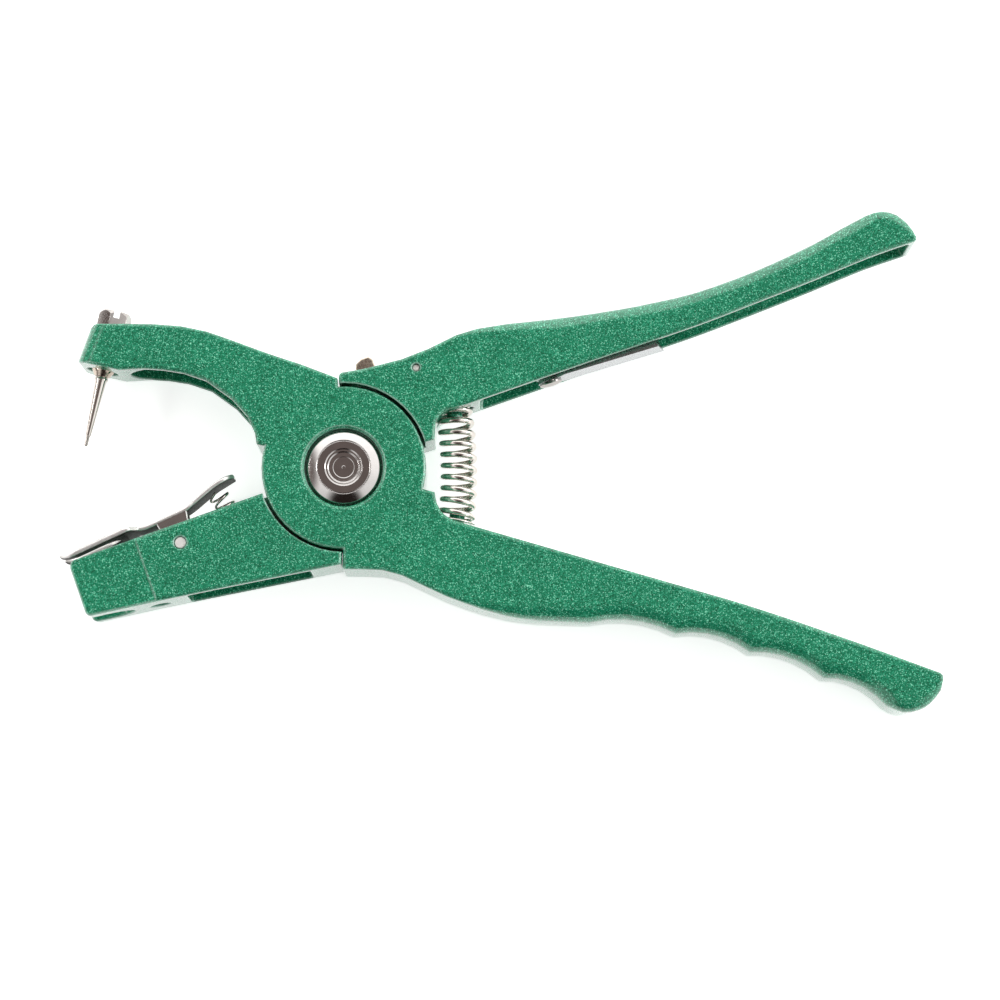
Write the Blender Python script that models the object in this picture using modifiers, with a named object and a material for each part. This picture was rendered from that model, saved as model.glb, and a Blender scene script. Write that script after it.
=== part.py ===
"""Ear tag applicator: two crossed cast levers on one pivot, lying on their back faces.

Units are metres and degrees. X runs from the jaws to the handles, Y across the
tool and Z through its thickness. The origin is on the pivot axis, at the back
faces that the tool lies on. The pin lever holds the applicator pin. The tag
lever holds the spring clip and swings about the pivot, towards -Z by the
right-hand rule, to close the jaws.
"""

import math

import bmesh
import bpy
from mathutils import Matrix, Vector

# Castings and hub
THICKNESS = 0.022
HUB_RADIUS = 0.0232
HUB_ARC_GAP = 0.0008
LAP_GAP = 0.0003
STOP_GAP = 0.0003
EDGE_ROUND = 0.0010
GRIP_ROUND = 0.0045
SWING = 32.0
STOP_TOP = 94.2
STOP_JAW = 164.9
STOP_BOTTOM = 269.9
STOP_HANDLE = -15.3

# Clearances between pieces
SEAT_GAP = 0.0003
PIN_FIT = 0.00015

# Pivot
PIVOT_HEAD_RADIUS = 0.0103
PIVOT_HEAD_DEPTH = 0.0035
PIVOT_HEAD_BEVEL = 0.0028
PIVOT_DIMPLE_RADIUS = 0.0053
PIVOT_DIMPLE_DEPTH = 0.0024
PIVOT_SHANK_RADIUS = 0.0060
PIVOT_TAIL_RADIUS = 0.0040
PIVOT_COLLAR_DEPTH = 0.0032
COUNTERBORE_GAP = 0.0008
COUNTERBORE_CHAMFER = 0.0007

# Pin lever jaw
JAW_REACH = 0.0694
BOSS_HEIGHT = 0.0290
JAW_TOP = 0.0411
PIN_TILT = 12.0
NOSE_ROUND = 0.0050
JAW_POCKET_ROUND = 0.0090
JAW_WALL = 0.0022
JAW_ROOF = 0.0045

# Applicator pin, its ferrule and its screw
PIN_LENGTH = 0.0220
PIN_TOP_RADIUS = 0.00165
PIN_STEP_RADIUS = 0.00082
PIN_TIP_RADIUS = 0.00056
PIN_TIP_LENGTH = 0.0032
PIN_STUD_RADIUS = 0.0024
PIN_STUD_LENGTH = 0.0046
FERRULE_RADIUS = 0.00325
FERRULE_HEIGHT = 0.0024
PIN_SEAT_RADIUS = 0.0047
PIN_SEAT_DEPTH = 0.0012
SCREW_ACROSS_FLATS = 0.0084
SCREW_HEAD_HEIGHT = 0.0058
SCREW_SHANK_RADIUS = 0.0024
SCREW_SHANK_LENGTH = 0.0050
SCREW_SLOT_WIDTH = 0.0017
SCREW_SLOT_DEPTH = 0.0021
SCREW_TURN = 50.0
SCREW_SLOT_TURN = 12.0
SCREW_SEAT_DEPTH = 0.0010

# Tag lever jaw, measured along its top face from the pivot
TAG_JAW_ANGLE = 19.8
TAG_JAW_TOP = 0.0009
TAG_JAW_NOSE = 0.0817
TAG_SLOT_WIDTH = 0.0118
TAG_SLOT_DRAFT = 0.0001
TAG_SLOT_END = 0.0688
TAG_CHANNEL_END = 0.0312
TAG_CHANNEL_DEPTH = 0.0100
TAG_LEDGE_START = 0.0420
TAG_LEDGE_DEPTH = 0.0030
TAG_WEB_HOLE_RADIUS = 0.0030
TAG_WEB_HOLE_AT = 0.0617
TAG_POCKET_START = 0.0185
TAG_POCKET_END = 0.0535
TAG_POCKET_ROOF = 0.0070
NOSE_STEP = 0.0004
NOSE_STEP_AT = 0.0618

# Tag clip
CLIP_PIN_AT = 0.0502
CLIP_PIN_DEPTH = 0.0056
CLIP_PIN_RADIUS = 0.00165
CLIP_SHEET = 0.0013
CLIP_WIDTH = 0.0190
CLIP_NECK_WIDTH = 0.0108
CLIP_ARM_WIDTH = 0.0120
CLIP_FORK_WIDTH = 0.0080
CLIP_FORK_DEPTH = 0.0180
CLIP_EAR_LENGTH = 0.0098
CLIP_EAR_BELOW = 0.0030
CLIP_RIB_PITCH = 0.0010
CLIP_RIB_DEPTH = 0.0003
CLIP_RIB_COUNT = 15
CLIP_SPRING_RADIUS = 0.0030
CLIP_SPRING_WIRE = 0.00038
CLIP_SPRING_TURNS = 3.25
CLIP_SPRING_LENGTH = 0.0082
CLIP_SPRING_LEAN = 26.0
CLIP_SPRING_AT = 0.0347

# Handles, measured from the pivot along each handle's own line
PIN_HANDLE_ANGLE = -20.8
PIN_HANDLE_LENGTH = 0.1786
TAG_HANDLE_ANGLE = 23.4
TAG_HANDLE_LENGTH = 0.1752
HANDLE_ROOT = 0.0440
HANDLE_WALL = 0.0022
HANDLE_ROOF = 0.0045
PIN_END_WALL = 0.0120
TAG_END_WALL = 0.0022
GROOVE_DEPTH = 0.0022

# Return spring between the handles
SPRING_RADIUS = 0.0046
SPRING_WIRE = 0.0008
SPRING_TURNS = 11
SPRING_BOW = 0.0012
SPRING_TAG_END = (0.0307, 0.0186)
SPRING_PIN_END = (0.0316, -0.0146)
SPRING_SEAT_RADIUS = 0.0058
SPRING_PEG_RADIUS = 0.0022
SPRING_PEG_HEIGHT = 0.0045

# Lock latch in the root of the tag handle
LATCH_PIN = (0.0203, 0.0284)
LATCH_PIN_RADIUS = 0.0010
LATCH_SHEET = 0.0038
LATCH_Z = 0.0147
LATCH_SWING = 12.0
LATCH_TAB_LENGTH = 0.0052
LATCH_TAB_RISE = 0.0026
LATCH_NOSE_ANGLE = 78.0
LATCH_NOTCH_AT = 0.0055
LATCH_NOTCH_WIDTH = 0.0050
LATCH_NOTCH_FLOOR = 0.0187

# Spare pin holder inside the tag handle
HOLDER_AT = 0.0640
HOLDER_OFFSET = 0.0012
HOLDER_TILT = -6.5
HOLDER_LENGTH = 0.0400
HOLDER_WIDTH = 0.0116
HOLDER_END_RADIUS = 0.0035
HOLDER_HEIGHT = 0.0042
HOLDER_SHEET = 0.0009
HOLDER_SCREW_RADIUS = 0.0033
HOLDER_SCREW_DOME = 0.0011
HOLDER_SHANK_RADIUS = 0.0015
HOLDER_SHANK_LENGTH = 0.0060
HOLDER_BOSS_RADIUS = 0.0038

# Detail of the meshes
OUTLINE_STEP = 0.0060
TIP_STEP = 0.0022
ROUND_STEPS = 3
ROUND_PASSES = 6
ROUND_SHARE = 0.8
ROUND_SLOPE = 0.35
TURN_STEPS = 32
HUB_STEPS = 48

MID = THICKNESS / 2
BACK_LAP = MID - LAP_GAP / 2
FRONT_LAP = MID + LAP_GAP / 2
ARC_RADIUS = HUB_RADIUS + HUB_ARC_GAP
STOP_ANGLE = math.degrees(STOP_GAP / ARC_RADIUS)


def polar(radius, degrees):
    """Point at a radius and an angle about the pivot."""
    angle = math.radians(degrees)
    return Vector((radius * math.cos(angle), radius * math.sin(angle)))


def turned_by(point, degrees):
    """Point turned about the pivot."""
    return Matrix.Rotation(math.radians(degrees), 2) @ Vector(point)


def in_arm(angle, along, across):
    """Point given along and across an arm that leaves the pivot at an angle."""
    return turned_by((along, across), angle)


def in_jaw(along, height):
    """Point of the tag jaw: distance from the pivot, height over the jaw's top."""
    return in_arm(180.0 + TAG_JAW_ANGLE, along, -(TAG_JAW_TOP + height))


def smooth_run(points, step=OUTLINE_STEP):
    """Points along a smooth curve through the given points, both ends kept."""
    points = [Vector(p) for p in points]
    ends = [2 * points[0] - points[1]] + points + [2 * points[-1] - points[-2]]
    run = []
    for i in range(1, len(ends) - 2):
        a, b, c, d = ends[i - 1 : i + 3]
        count = max(1, round((c - b).length / step))
        for k in range(count):
            t = k / count
            run.append(
                0.5
                * (
                    2 * b
                    + (c - a) * t
                    + (2 * a - 5 * b + 4 * c - d) * t**2
                    + (3 * b - a - 3 * c + d) * t**3
                )
            )
    run.append(points[-1])
    return run


def fillet(before, corner, after, radius, steps=3):
    """Arc that rounds a corner between two straight edges."""
    before, corner, after = Vector(before), Vector(corner), Vector(after)
    to_a = (before - corner).normalized()
    to_b = (after - corner).normalized()
    half = to_a.angle(to_b) / 2
    reach = radius / math.tan(half)
    centre = corner + (to_a + to_b).normalized() * radius / math.sin(half)
    start = corner + to_a * reach - centre
    end = corner + to_b * reach - centre
    sweep = start.angle_signed(end)
    return [
        centre + Matrix.Rotation(-sweep * k / steps, 2) @ start
        for k in range(steps + 1)
    ]


def sagged(a, b, depth, steps=5):
    """Points of an arc from a to b whose middle lies to the left by a depth."""
    a, b = Vector(a), Vector(b)
    chord = b - a
    normal = Vector((-chord.y, chord.x)).normalized()
    radius = (chord.length**2 / 4 + depth**2) / (2 * depth)
    centre = (a + b) / 2 - normal * (radius - depth)
    half = math.asin(chord.length / 2 / radius)
    return [
        centre + Matrix.Rotation(half - 2 * half * k / steps, 2) @ (normal * radius)
        for k in range(steps + 1)
    ]


def half_turn(steps=8):
    """Angles from nothing to a half turn."""
    return [math.pi * k / steps for k in range(steps + 1)]


def with_round(points, radius):
    """Outline points that carry the rounding radius of the edge they are on."""
    return [(Vector(p), radius) for p in points]


def link(obj, group):
    group.objects.link(obj)
    return obj


def give(obj, material):
    obj.data.materials.clear()
    obj.data.materials.append(material)
    return obj


def as_mesh(obj, flat_caps=False):
    """Turn a curve object into a welded mesh object in its place."""
    bpy.context.view_layer.update()
    graph = bpy.context.evaluated_depsgraph_get()
    mesh = bpy.data.meshes.new_from_object(obj.evaluated_get(graph))
    new = bpy.data.objects.new(obj.name, mesh)
    new.matrix_world = obj.matrix_world
    for group in list(obj.users_collection):
        group.objects.link(new)
    name = obj.name
    bpy.data.objects.remove(obj)
    new.name = name
    bm = bmesh.new()
    bm.from_mesh(mesh)
    bmesh.ops.remove_doubles(bm, verts=bm.verts, dist=0.000001)
    if flat_caps:
        caps = [f for f in bm.faces if abs(f.normal.z) > 0.99]
        inner = [
            e
            for e in bm.edges
            if len(e.link_faces) == 2 and all(abs(f.normal.z) > 0.99 for f in e.link_faces)
        ]
        if len(caps) > 2:
            bmesh.ops.dissolve_edges(bm, edges=inner, use_verts=False)
    bmesh.ops.recalc_face_normals(bm, faces=bm.faces)
    if bm.calc_volume(signed=True) < 0.0:
        bmesh.ops.reverse_faces(bm, faces=bm.faces)
    bm.to_mesh(mesh)
    bm.free()
    return new


def plate(name, outline, low, high, group, origin=(0.0, 0.0)):
    """Flat outline given thickness between two heights, as a mesh."""
    curve = bpy.data.curves.new(name, "CURVE")
    curve.dimensions = "2D"
    curve.fill_mode = "BOTH"
    curve.extrude = (high - low) / 2
    spline = curve.splines.new("POLY")
    spline.points.add(len(outline) - 1)
    for point, (x, y) in zip(spline.points, outline):
        point.co = (x - origin[0], y - origin[1], 0.0, 1.0)
    spline.use_cyclic_u = True
    obj = link(bpy.data.objects.new(name, curve), group)
    obj.location = (origin[0], origin[1], (low + high) / 2)
    return as_mesh(obj, flat_caps=True)


def corner_turns(points):
    """Inward direction and turn of each outline corner, anticlockwise points."""
    corners = []
    for i, point in enumerate(points):
        before = (point - points[i - 1]).normalized()
        after = (points[(i + 1) % len(points)] - point).normalized()
        half = math.atan2(before.x * after.y - before.y * after.x, before.dot(after)) / 2
        mean = (before + after).normalized()
        inward = Vector((-mean.y, mean.x)) / math.cos(half)
        corners.append((inward, math.tan(half)))
    return corners


def eased_rounds(outline, corners):
    """Rounding radius of each point, held to what its edges and neighbours allow."""
    points = [p for p, _ in outline]
    radii = [r for _, r in outline]
    count = len(points)
    for _ in range(ROUND_PASSES):
        for i in range(count):
            j = (i + 1) % count
            length = (points[j] - points[i]).length
            taken = radii[i] * corners[i][1] + radii[j] * corners[j][1]
            if taken > ROUND_SHARE * length:
                radii[i] *= ROUND_SHARE * length / taken
                radii[j] *= ROUND_SHARE * length / taken
            radii[i] = min(radii[i], radii[j] + ROUND_SLOPE * length)
            radii[j] = min(radii[j], radii[i] + ROUND_SLOPE * length)
    return radii


def rounded_plate(name, outline, group):
    """Casting lofted through rings: each point's own rounding draws its rims in."""
    points = [p for p, _ in outline]
    corners = corner_turns(points)
    radii = eased_rounds(outline, corners)
    angles = [math.pi / 2 * k / ROUND_STEPS for k in range(ROUND_STEPS, -1, -1)]
    levels = [(a, -1.0) for a in angles] + [(a, 1.0) for a in reversed(angles)]
    bm = bmesh.new()
    rings = []
    for angle, side in levels:
        ring = []
        for point, (inward, _), r in zip(points, corners, radii):
            place = point + inward * r * (1 - math.cos(angle))
            height = MID + side * (MID - r * (1 - math.sin(angle)))
            ring.append(bm.verts.new((place.x, place.y, height)))
        rings.append(ring)
    for low, high in zip(rings, rings[1:]):
        for i in range(len(points)):
            j = (i + 1) % len(points)
            bm.faces.new((low[i], low[j], high[j], high[i]))
    bm.faces.new(reversed(rings[0]))
    bm.faces.new(rings[-1])
    mesh = bpy.data.meshes.new(name)
    bm.to_mesh(mesh)
    bm.free()
    return link(bpy.data.objects.new(name, mesh), group)


def bevelled(obj, width, segments=2, angle=40.0):
    bevel = obj.modifiers.new("Edges", "BEVEL")
    bevel.width = width
    bevel.segments = segments
    bevel.limit_method = "ANGLE"
    bevel.angle_limit = math.radians(angle)
    return obj


def combine(obj, other, operation="DIFFERENCE"):
    """Boolean with a cutter, which stays out of the render and of the parts."""
    for group in list(other.users_collection):
        group.objects.unlink(other)
    link(other, CUTTERS)
    other.hide_render = True
    other.display_type = "WIRE"
    modifier = obj.modifiers.new(f"{operation.title()} {other.name}", "BOOLEAN")
    modifier.operation = operation
    modifier.solver = "EXACT"
    modifier.object = other
    return obj


def turned(name, profile, group, place=None, steps=TURN_STEPS, closed=False):
    """Profile of (radius, height) points, turned about its own Z axis."""
    mesh = bpy.data.meshes.new(name)
    count = len(profile)
    edges = [(i, i + 1) for i in range(count - 1)]
    if closed:
        edges.append((count - 1, 0))
    mesh.from_pydata([(r, 0.0, h) for r, h in profile], edges, [])
    obj = link(bpy.data.objects.new(name, mesh), group)
    if place is not None:
        obj.matrix_world = place
    screw = obj.modifiers.new("Turn", "SCREW")
    screw.steps = steps
    screw.render_steps = steps
    screw.use_merge_vertices = True
    screw.merge_threshold = 0.00001
    screw.use_smooth_shade = True
    return obj


def rod(name, radius, low, high, group, place=None, steps=TURN_STEPS):
    """Round bar between two heights on its own Z axis."""
    profile = [(0.0, high), (radius, high), (radius, low), (0.0, low)]
    return turned(name, profile, group, place, steps)


def block(name, size, group, place):
    """Box about the middle of a placement."""
    bm = bmesh.new()
    bmesh.ops.create_cube(bm, size=1.0, matrix=Matrix.Diagonal((*size, 1.0)))
    mesh = bpy.data.meshes.new(name)
    bm.to_mesh(mesh)
    bm.free()
    obj = link(bpy.data.objects.new(name, mesh), group)
    obj.matrix_world = place
    return obj


def coil(name, points, wire, group, origin):
    """Wire along computed points, as one welded mesh."""
    curve = bpy.data.curves.new(name, "CURVE")
    curve.dimensions = "3D"
    curve.bevel_depth = wire
    curve.bevel_resolution = 2
    curve.use_fill_caps = True
    spline = curve.splines.new("POLY")
    spline.points.add(len(points) - 1)
    for point, place in zip(spline.points, points):
        point.co = (*(place - origin), 1.0)
    obj = link(bpy.data.objects.new(name, curve), group)
    obj.location = origin
    obj = as_mesh(obj)
    for polygon in obj.data.polygons:
        polygon.use_smooth = True
    return obj


def axis_frame(point, z, direction, side=(0.0, 0.0, 1.0)):
    """Placement at a point whose Z axis runs along a direction in the XY plane."""
    up = Vector((direction[0], direction[1], 0.0)).normalized()
    across = Vector(side)
    third = across.cross(up)
    return Matrix(
        (
            (third.x, across.x, up.x, point[0]),
            (third.y, across.y, up.y, point[1]),
            (third.z, across.z, up.z, z),
            (0.0, 0.0, 0.0, 1.0),
        )
    )


def flat_frame(point, degrees, z=0.0):
    """Placement at a point, turned about Z."""
    return Matrix.Translation((point[0], point[1], z)) @ Matrix.Rotation(
        math.radians(degrees), 4, "Z"
    )


def material(name, colour, metallic, roughness):
    mat = bpy.data.materials.new(name)
    mat.use_nodes = True
    shader = mat.node_tree.nodes["Principled BSDF"]
    shader.inputs["Base Color"].default_value = (*colour, 1.0)
    shader.inputs["Metallic"].default_value = metallic
    shader.inputs["Roughness"].default_value = roughness
    return mat


def even_shading(obj):
    """Smooth shading that keeps the large flat faces flat."""
    obj.data.shade_smooth()
    normals = obj.modifiers.new("Even shading", "WEIGHTED_NORMAL")
    normals.weight = 100
    return obj


def handle_point(angle, length, share, across):
    """Point of a handle: share of the way from its root to its tip."""
    return in_arm(angle, HANDLE_ROOT + share * (length - HANDLE_ROOT), across)


def pin_lever_outline():
    """Upper jaw, hub shoulders and lower handle, anticlockwise from the top stop."""
    inner = HUB_RADIUS - 3 * EDGE_ROUND
    reach = JAW_REACH
    outline = with_round([polar(inner, STOP_TOP), polar(0.0255, STOP_TOP)], EDGE_ROUND)
    jaw_top = [
        (-0.0040, 0.0263),
        (-0.178 * reach, 0.0295),
        (-0.300 * reach, 0.0323),
        (-0.430 * reach, 0.0356),
        (-0.563 * reach, JAW_TOP - 0.0022),
        (-0.666 * reach, JAW_TOP - 0.0007),
        (-0.780 * reach, JAW_TOP - 0.0001),
        (-0.900 * reach, JAW_TOP),
    ]
    outline += with_round(smooth_run(jaw_top), EDGE_ROUND)
    boss_heel = boss_point(-0.0058, 0.0)
    top, low = nose_top(), nose_low()
    outline += with_round(fillet(jaw_top[-1], top, low, 0.0025), EDGE_ROUND)
    outline += with_round(fillet(top, low, boss_heel, 0.0008, 2), EDGE_ROUND)
    mouth = [
        boss_heel,
        (-0.818 * reach, 0.0282),
        (-0.736 * reach, 0.0278),
        (-0.656 * reach, 0.0269),
        (-0.562 * reach, 0.0247),
        (-0.458 * reach, 0.0195),
        (-0.393 * reach, 0.0145),
        (-0.0251, 0.0097),
        polar(0.0255, STOP_JAW),
    ]
    outline += with_round(smooth_run(mouth), EDGE_ROUND)
    outline += with_round([polar(inner, STOP_JAW)], EDGE_ROUND)
    outline += with_round([polar(inner, STOP_BOTTOM)], EDGE_ROUND)
    outline += pin_handle_outline()
    outline += with_round([polar(inner, STOP_HANDLE)], EDGE_ROUND)
    return outline


def boss_point(along, up):
    """Point by the applicator pin: along the boss face, up the pin's axis."""
    tilt = math.radians(PIN_TILT)
    seat = Vector((-JAW_REACH, BOSS_HEIGHT))
    along_face = Vector((-math.cos(tilt), math.sin(tilt)))
    up_axis = Vector((math.sin(tilt), math.cos(tilt)))
    return seat + along * along_face + up * up_axis


def pin_handle_outline():
    """Lower handle from the bottom stop, round its tip, to the spring seat."""

    def at(share, across):
        return handle_point(PIN_HANDLE_ANGLE, PIN_HANDLE_LENGTH, share, across)

    belly = [
        polar(0.0288, STOP_BOTTOM),
        (0.0110, -0.0291),
        (0.0166, -0.0306),
        (0.0222, -0.0333),
        at(-0.030, -0.0238),
        at(0.050, -0.0236),
        at(0.100, -0.0229),
        at(0.169, -0.0207),
        at(0.268, -0.0162),
    ]
    outline = []
    for point in smooth_run(belly):
        along = turned_by(point, -PIN_HANDLE_ANGLE).x
        blend = min(max((along - HANDLE_ROOT) / 0.025, 0.0), 1.0)
        outline.append((point, EDGE_ROUND + blend * (GRIP_ROUND - EDGE_ROUND)))
    crests = [(0.268, -0.0162), (0.444, -0.0105), (0.602, -0.0080), (0.764, -0.0075)]
    crests.append((0.905, -0.0086))
    for first, second in zip(crests, crests[1:]):
        groove = sagged(at(*first), at(*second), GROOVE_DEPTH)
        outline += with_round(groove[1:], GRIP_ROUND)
    tip = [(0.905, -0.0086), (0.942, -0.0088), (0.972, -0.0066), (0.990, -0.0036)]
    tip += [(1.000, 0.0008), (0.996, 0.0036)]
    outline += with_round(smooth_run([at(*p) for p in tip], TIP_STEP)[1:-1], GRIP_ROUND * 0.7)
    corner = at(0.995, 0.0052)
    top = [(0.900, 0.0051), (0.770, 0.0048), (0.550, 0.0037), (0.258, 0.0005)]
    top += [(0.052, -0.0017)]
    top = [at(*p) for p in top] + [(0.0345, -0.0160)]
    outline += with_round(fillet(at(*tip[-1]), corner, top[0], 0.0015, 2), EDGE_ROUND)
    outline += with_round(smooth_run(top), EDGE_ROUND)
    seat = [
        (0.0345, -0.0160),
        (0.0302, -0.0146),
        (0.0274, -0.0124),
        (0.0262, -0.0101),
        polar(0.0266, STOP_HANDLE),
    ]
    outline += with_round(smooth_run(seat, 0.002)[1:], EDGE_ROUND)
    return outline


def tag_lever_outline():
    """Upper handle, hub shoulders and lower jaw, anticlockwise from the handle stop."""
    inner = HUB_RADIUS - 3 * EDGE_ROUND
    jaw_stop = STOP_JAW + SWING + STOP_ANGLE
    handle_stop = STOP_HANDLE + SWING + STOP_ANGLE
    outline = with_round([polar(inner, handle_stop)], EDGE_ROUND)
    outline += tag_handle_outline(polar(0.0268, handle_stop))
    outline += with_round([polar(inner, STOP_TOP - STOP_ANGLE)], EDGE_ROUND)
    outline += with_round([polar(inner, jaw_stop)], EDGE_ROUND)
    shoulder = in_jaw(0.0247, 0.0)
    nose_top = in_jaw(TAG_JAW_NOSE, 0.0)
    nose_low = in_jaw(TAG_JAW_NOSE, -0.0164)
    jaw_low = in_jaw(0.0620, -0.0189)
    heel = polar(0.0274, STOP_BOTTOM - STOP_ANGLE)
    outline += with_round(
        fillet(polar(inner, jaw_stop), shoulder, nose_top, 0.0010, 2), EDGE_ROUND
    )
    outline += with_round(fillet(shoulder, nose_top, nose_low, 0.0020), EDGE_ROUND)
    outline += with_round(fillet(nose_top, nose_low, jaw_low, 0.0016), EDGE_ROUND)
    belly = [jaw_low, in_jaw(0.0478, -0.0209), in_jaw(0.0215, -0.0248), heel]
    outline += with_round(smooth_run(belly, 0.012), EDGE_ROUND)
    outline += with_round([polar(inner, STOP_BOTTOM - STOP_ANGLE)], EDGE_ROUND)
    return outline


def tag_handle_outline(stop):
    """Upper handle from its spring seat, round its tip, to the top stop."""

    def at(share, across):
        return handle_point(TAG_HANDLE_ANGLE, TAG_HANDLE_LENGTH, share, across)

    seat = [stop, (0.0259, 0.0128), (0.0270, 0.0148), (0.0291, 0.0164), (0.0345, 0.0180)]
    seat += [(0.0389, 0.0195)]
    outline = with_round(smooth_run(seat, 0.002)[:-1], EDGE_ROUND)
    low = [(0.0389, 0.0195)]
    low += [at(*p) for p in [(0.120, 0.0013), (0.250, 0.0001), (0.360, -0.0011)]]
    low += [at(*p) for p in [(0.490, -0.0024), (0.620, -0.0031), (0.760, -0.0036)]]
    low += [at(*p) for p in [(0.890, -0.0038), (0.975, -0.0046)]]
    outline += with_round(smooth_run(low), EDGE_ROUND)
    corner = at(1.000, -0.0049)
    tip = [(1.000, -0.0015), (0.997, 0.0010), (0.984, 0.0046), (0.957, 0.0073)]
    tip += [(0.920, 0.0081)]
    outline += with_round(fillet(low[-1], corner, at(*tip[0]), 0.0010, 2), EDGE_ROUND)
    outline += with_round(smooth_run([at(*p) for p in tip], TIP_STEP)[:-1], GRIP_ROUND * 0.7)
    top = [(0.920, 0.0081), (0.859, 0.0075), (0.787, 0.0065), (0.650, 0.0060)]
    top += [(0.516, 0.0070), (0.431, 0.0089), (0.349, 0.0112), (0.247, 0.0147)]
    top += [(0.112, 0.0198), (0.047, 0.0217), (0.000, 0.0222)]
    top = [at(*p) for p in top]
    top += [(0.0239, 0.0340), (0.0161, 0.0309), (0.0096, 0.0292), (0.0052, 0.0281)]
    for point in smooth_run(top):
        along = turned_by(point, -TAG_HANDLE_ANGLE).x
        blend = min(max((along - HANDLE_ROOT) / 0.025, 0.0), 1.0)
        outline.append((point, EDGE_ROUND + blend * (GRIP_ROUND - EDGE_ROUND)))
    outer = polar(0.0270, STOP_TOP - STOP_ANGLE)
    inner = polar(HUB_RADIUS, STOP_TOP - STOP_ANGLE)
    outline += with_round(fillet(top[-1], outer, inner, 0.0012, 2), EDGE_ROUND)
    return outline


def hub_disc(tag):
    """This lever's own disc of the lap, started beyond the middle."""
    r = HUB_RADIUS
    past = MID + (0.002 if tag else -0.002)
    face = 0.0 if tag else THICKNESS
    sign = 1.0 if tag else -1.0
    rim = [(0.0, past), (r, past)]
    for k in range(ROUND_STEPS):
        angle = math.pi / 2 * k / (ROUND_STEPS - 1)
        inset = EDGE_ROUND * (1 - math.cos(angle))
        rim.append((r - inset, face + sign * EDGE_ROUND * (1 - math.sin(angle))))
    rim.append((0.0, face))
    if not tag:
        rim.reverse()
    return turned(f"{'Tag' if tag else 'Pin'} hub disc", rim, CUTTERS, steps=HUB_STEPS)


def hub_cut(tag):
    """Room for the other lever's disc, with the bore and the seat for the pivot."""
    head = PIVOT_HEAD_RADIUS + COUNTERBORE_GAP
    out = 0.001
    mouth = head + COUNTERBORE_CHAMFER + out
    bore = PIVOT_SHANK_RADIUS + PIN_FIT
    if tag:
        floor = PIVOT_COLLAR_DEPTH + SEAT_GAP
        profile = [(0.0, THICKNESS + out), (ARC_RADIUS, THICKNESS + out)]
        profile += [(ARC_RADIUS, BACK_LAP), (bore, BACK_LAP), (bore, floor), (head, floor)]
        profile += [(head, COUNTERBORE_CHAMFER), (mouth, -out), (0.0, -out)]
    else:
        floor = THICKNESS - PIVOT_HEAD_DEPTH - SEAT_GAP
        profile = [(0.0, THICKNESS + out), (mouth, THICKNESS + out)]
        profile += [(head, THICKNESS - COUNTERBORE_CHAMFER), (head, floor), (bore, floor)]
        profile += [(bore, FRONT_LAP), (ARC_RADIUS, FRONT_LAP), (ARC_RADIUS, -out), (0.0, -out)]
    return turned(f"{'Tag' if tag else 'Pin'} hub cut", profile, CUTTERS, steps=HUB_STEPS)


def spring_point(share):
    """Middle line of the return spring and its direction, from the tag end."""
    a, b = Vector(SPRING_TAG_END), Vector(SPRING_PIN_END)
    chord = b - a
    outward = Vector((-chord.y, chord.x)).normalized()
    place = a + chord * share + outward * 4 * SPRING_BOW * share * (1 - share)
    way = chord + outward * 4 * SPRING_BOW * (1 - 2 * share)
    return place, way.normalized()


def spring_seat(tag):
    """Round recess that the end of the return spring sits in, and its peg."""
    share = 0.0 if tag else 1.0
    name = "Tag" if tag else "Pin"
    end, way = spring_point(share)
    into = -way if tag else way
    frame = axis_frame(end, MID, into)
    floor = SPRING_WIRE + SEAT_GAP
    recess = rod(f"{name} spring recess", SPRING_SEAT_RADIUS, -0.009, floor, CUTTERS, frame, 32)
    peg = rod(
        f"{name} spring peg",
        SPRING_PEG_RADIUS,
        floor - SPRING_PEG_HEIGHT,
        floor + 0.002,
        CUTTERS,
        frame,
        20,
    )
    return recess, peg


def handle_channel(tag):
    """Open channel that hollows a handle from its inner side."""
    name = "Tag" if tag else "Pin"
    angle = TAG_HANDLE_ANGLE if tag else PIN_HANDLE_ANGLE
    length = TAG_HANDLE_LENGTH if tag else PIN_HANDLE_LENGTH

    def at(share, across):
        return handle_point(angle, length, share, across)

    wall = TAG_END_WALL if tag else PIN_END_WALL
    end = 1.0 - wall / (length - HANDLE_ROOT)
    roof = HANDLE_ROOF
    if tag:
        edge = [at(-0.040, -0.006), at(end, -0.012), at(end, 0.0052 - roof)]
        back = [(end, 0.0052), (0.930, 0.0068), (0.787, 0.0065), (0.650, 0.0060)]
        back += [(0.516, 0.0070), (0.349, 0.0112), (0.200, 0.0163), (0.042, 0.0209)]
    else:
        edge = [at(0.020, 0.012), at(end, 0.014), at(end, -0.0050 + roof)]
        back = [(end, -0.0050), (0.764, -0.0052), (0.602, -0.0052), (0.444, -0.0078)]
        back += [(0.268, -0.0140), (0.169, -0.0180), (0.060, -0.0200)]
    sign = -1.0 if tag else 1.0
    floor = [at(share, across + sign * roof) for share, across in back]
    outline = edge + smooth_run(floor, 0.008)[1:]
    if not tag:
        outline.reverse()
    channel = plate(f"{name} handle channel", outline, HANDLE_WALL, THICKNESS - HANDLE_WALL, CUTTERS)
    return bevelled(channel, 0.0012)


def make_pin_lever(parts, paint):
    outline = pin_lever_outline()
    lever = rounded_plate("pin_lever", outline, parts)
    for side in (1.0, -1.0):
        combine(lever, nose_corner(side))
    combine(lever, jaw_pocket())
    combine(lever, pin_bore())
    combine(lever, handle_channel(tag=False))
    recess, peg = spring_seat(tag=False)
    combine(lever, recess)
    combine(lever, peg, "UNION")
    combine(lever, hub_disc(tag=False), "UNION")
    for turn in (0.0, -SWING):
        combine(lever, latch_notch(turn))
    combine(lever, hub_cut(tag=False))
    give(lever, paint)
    return even_shading(lever)


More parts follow.
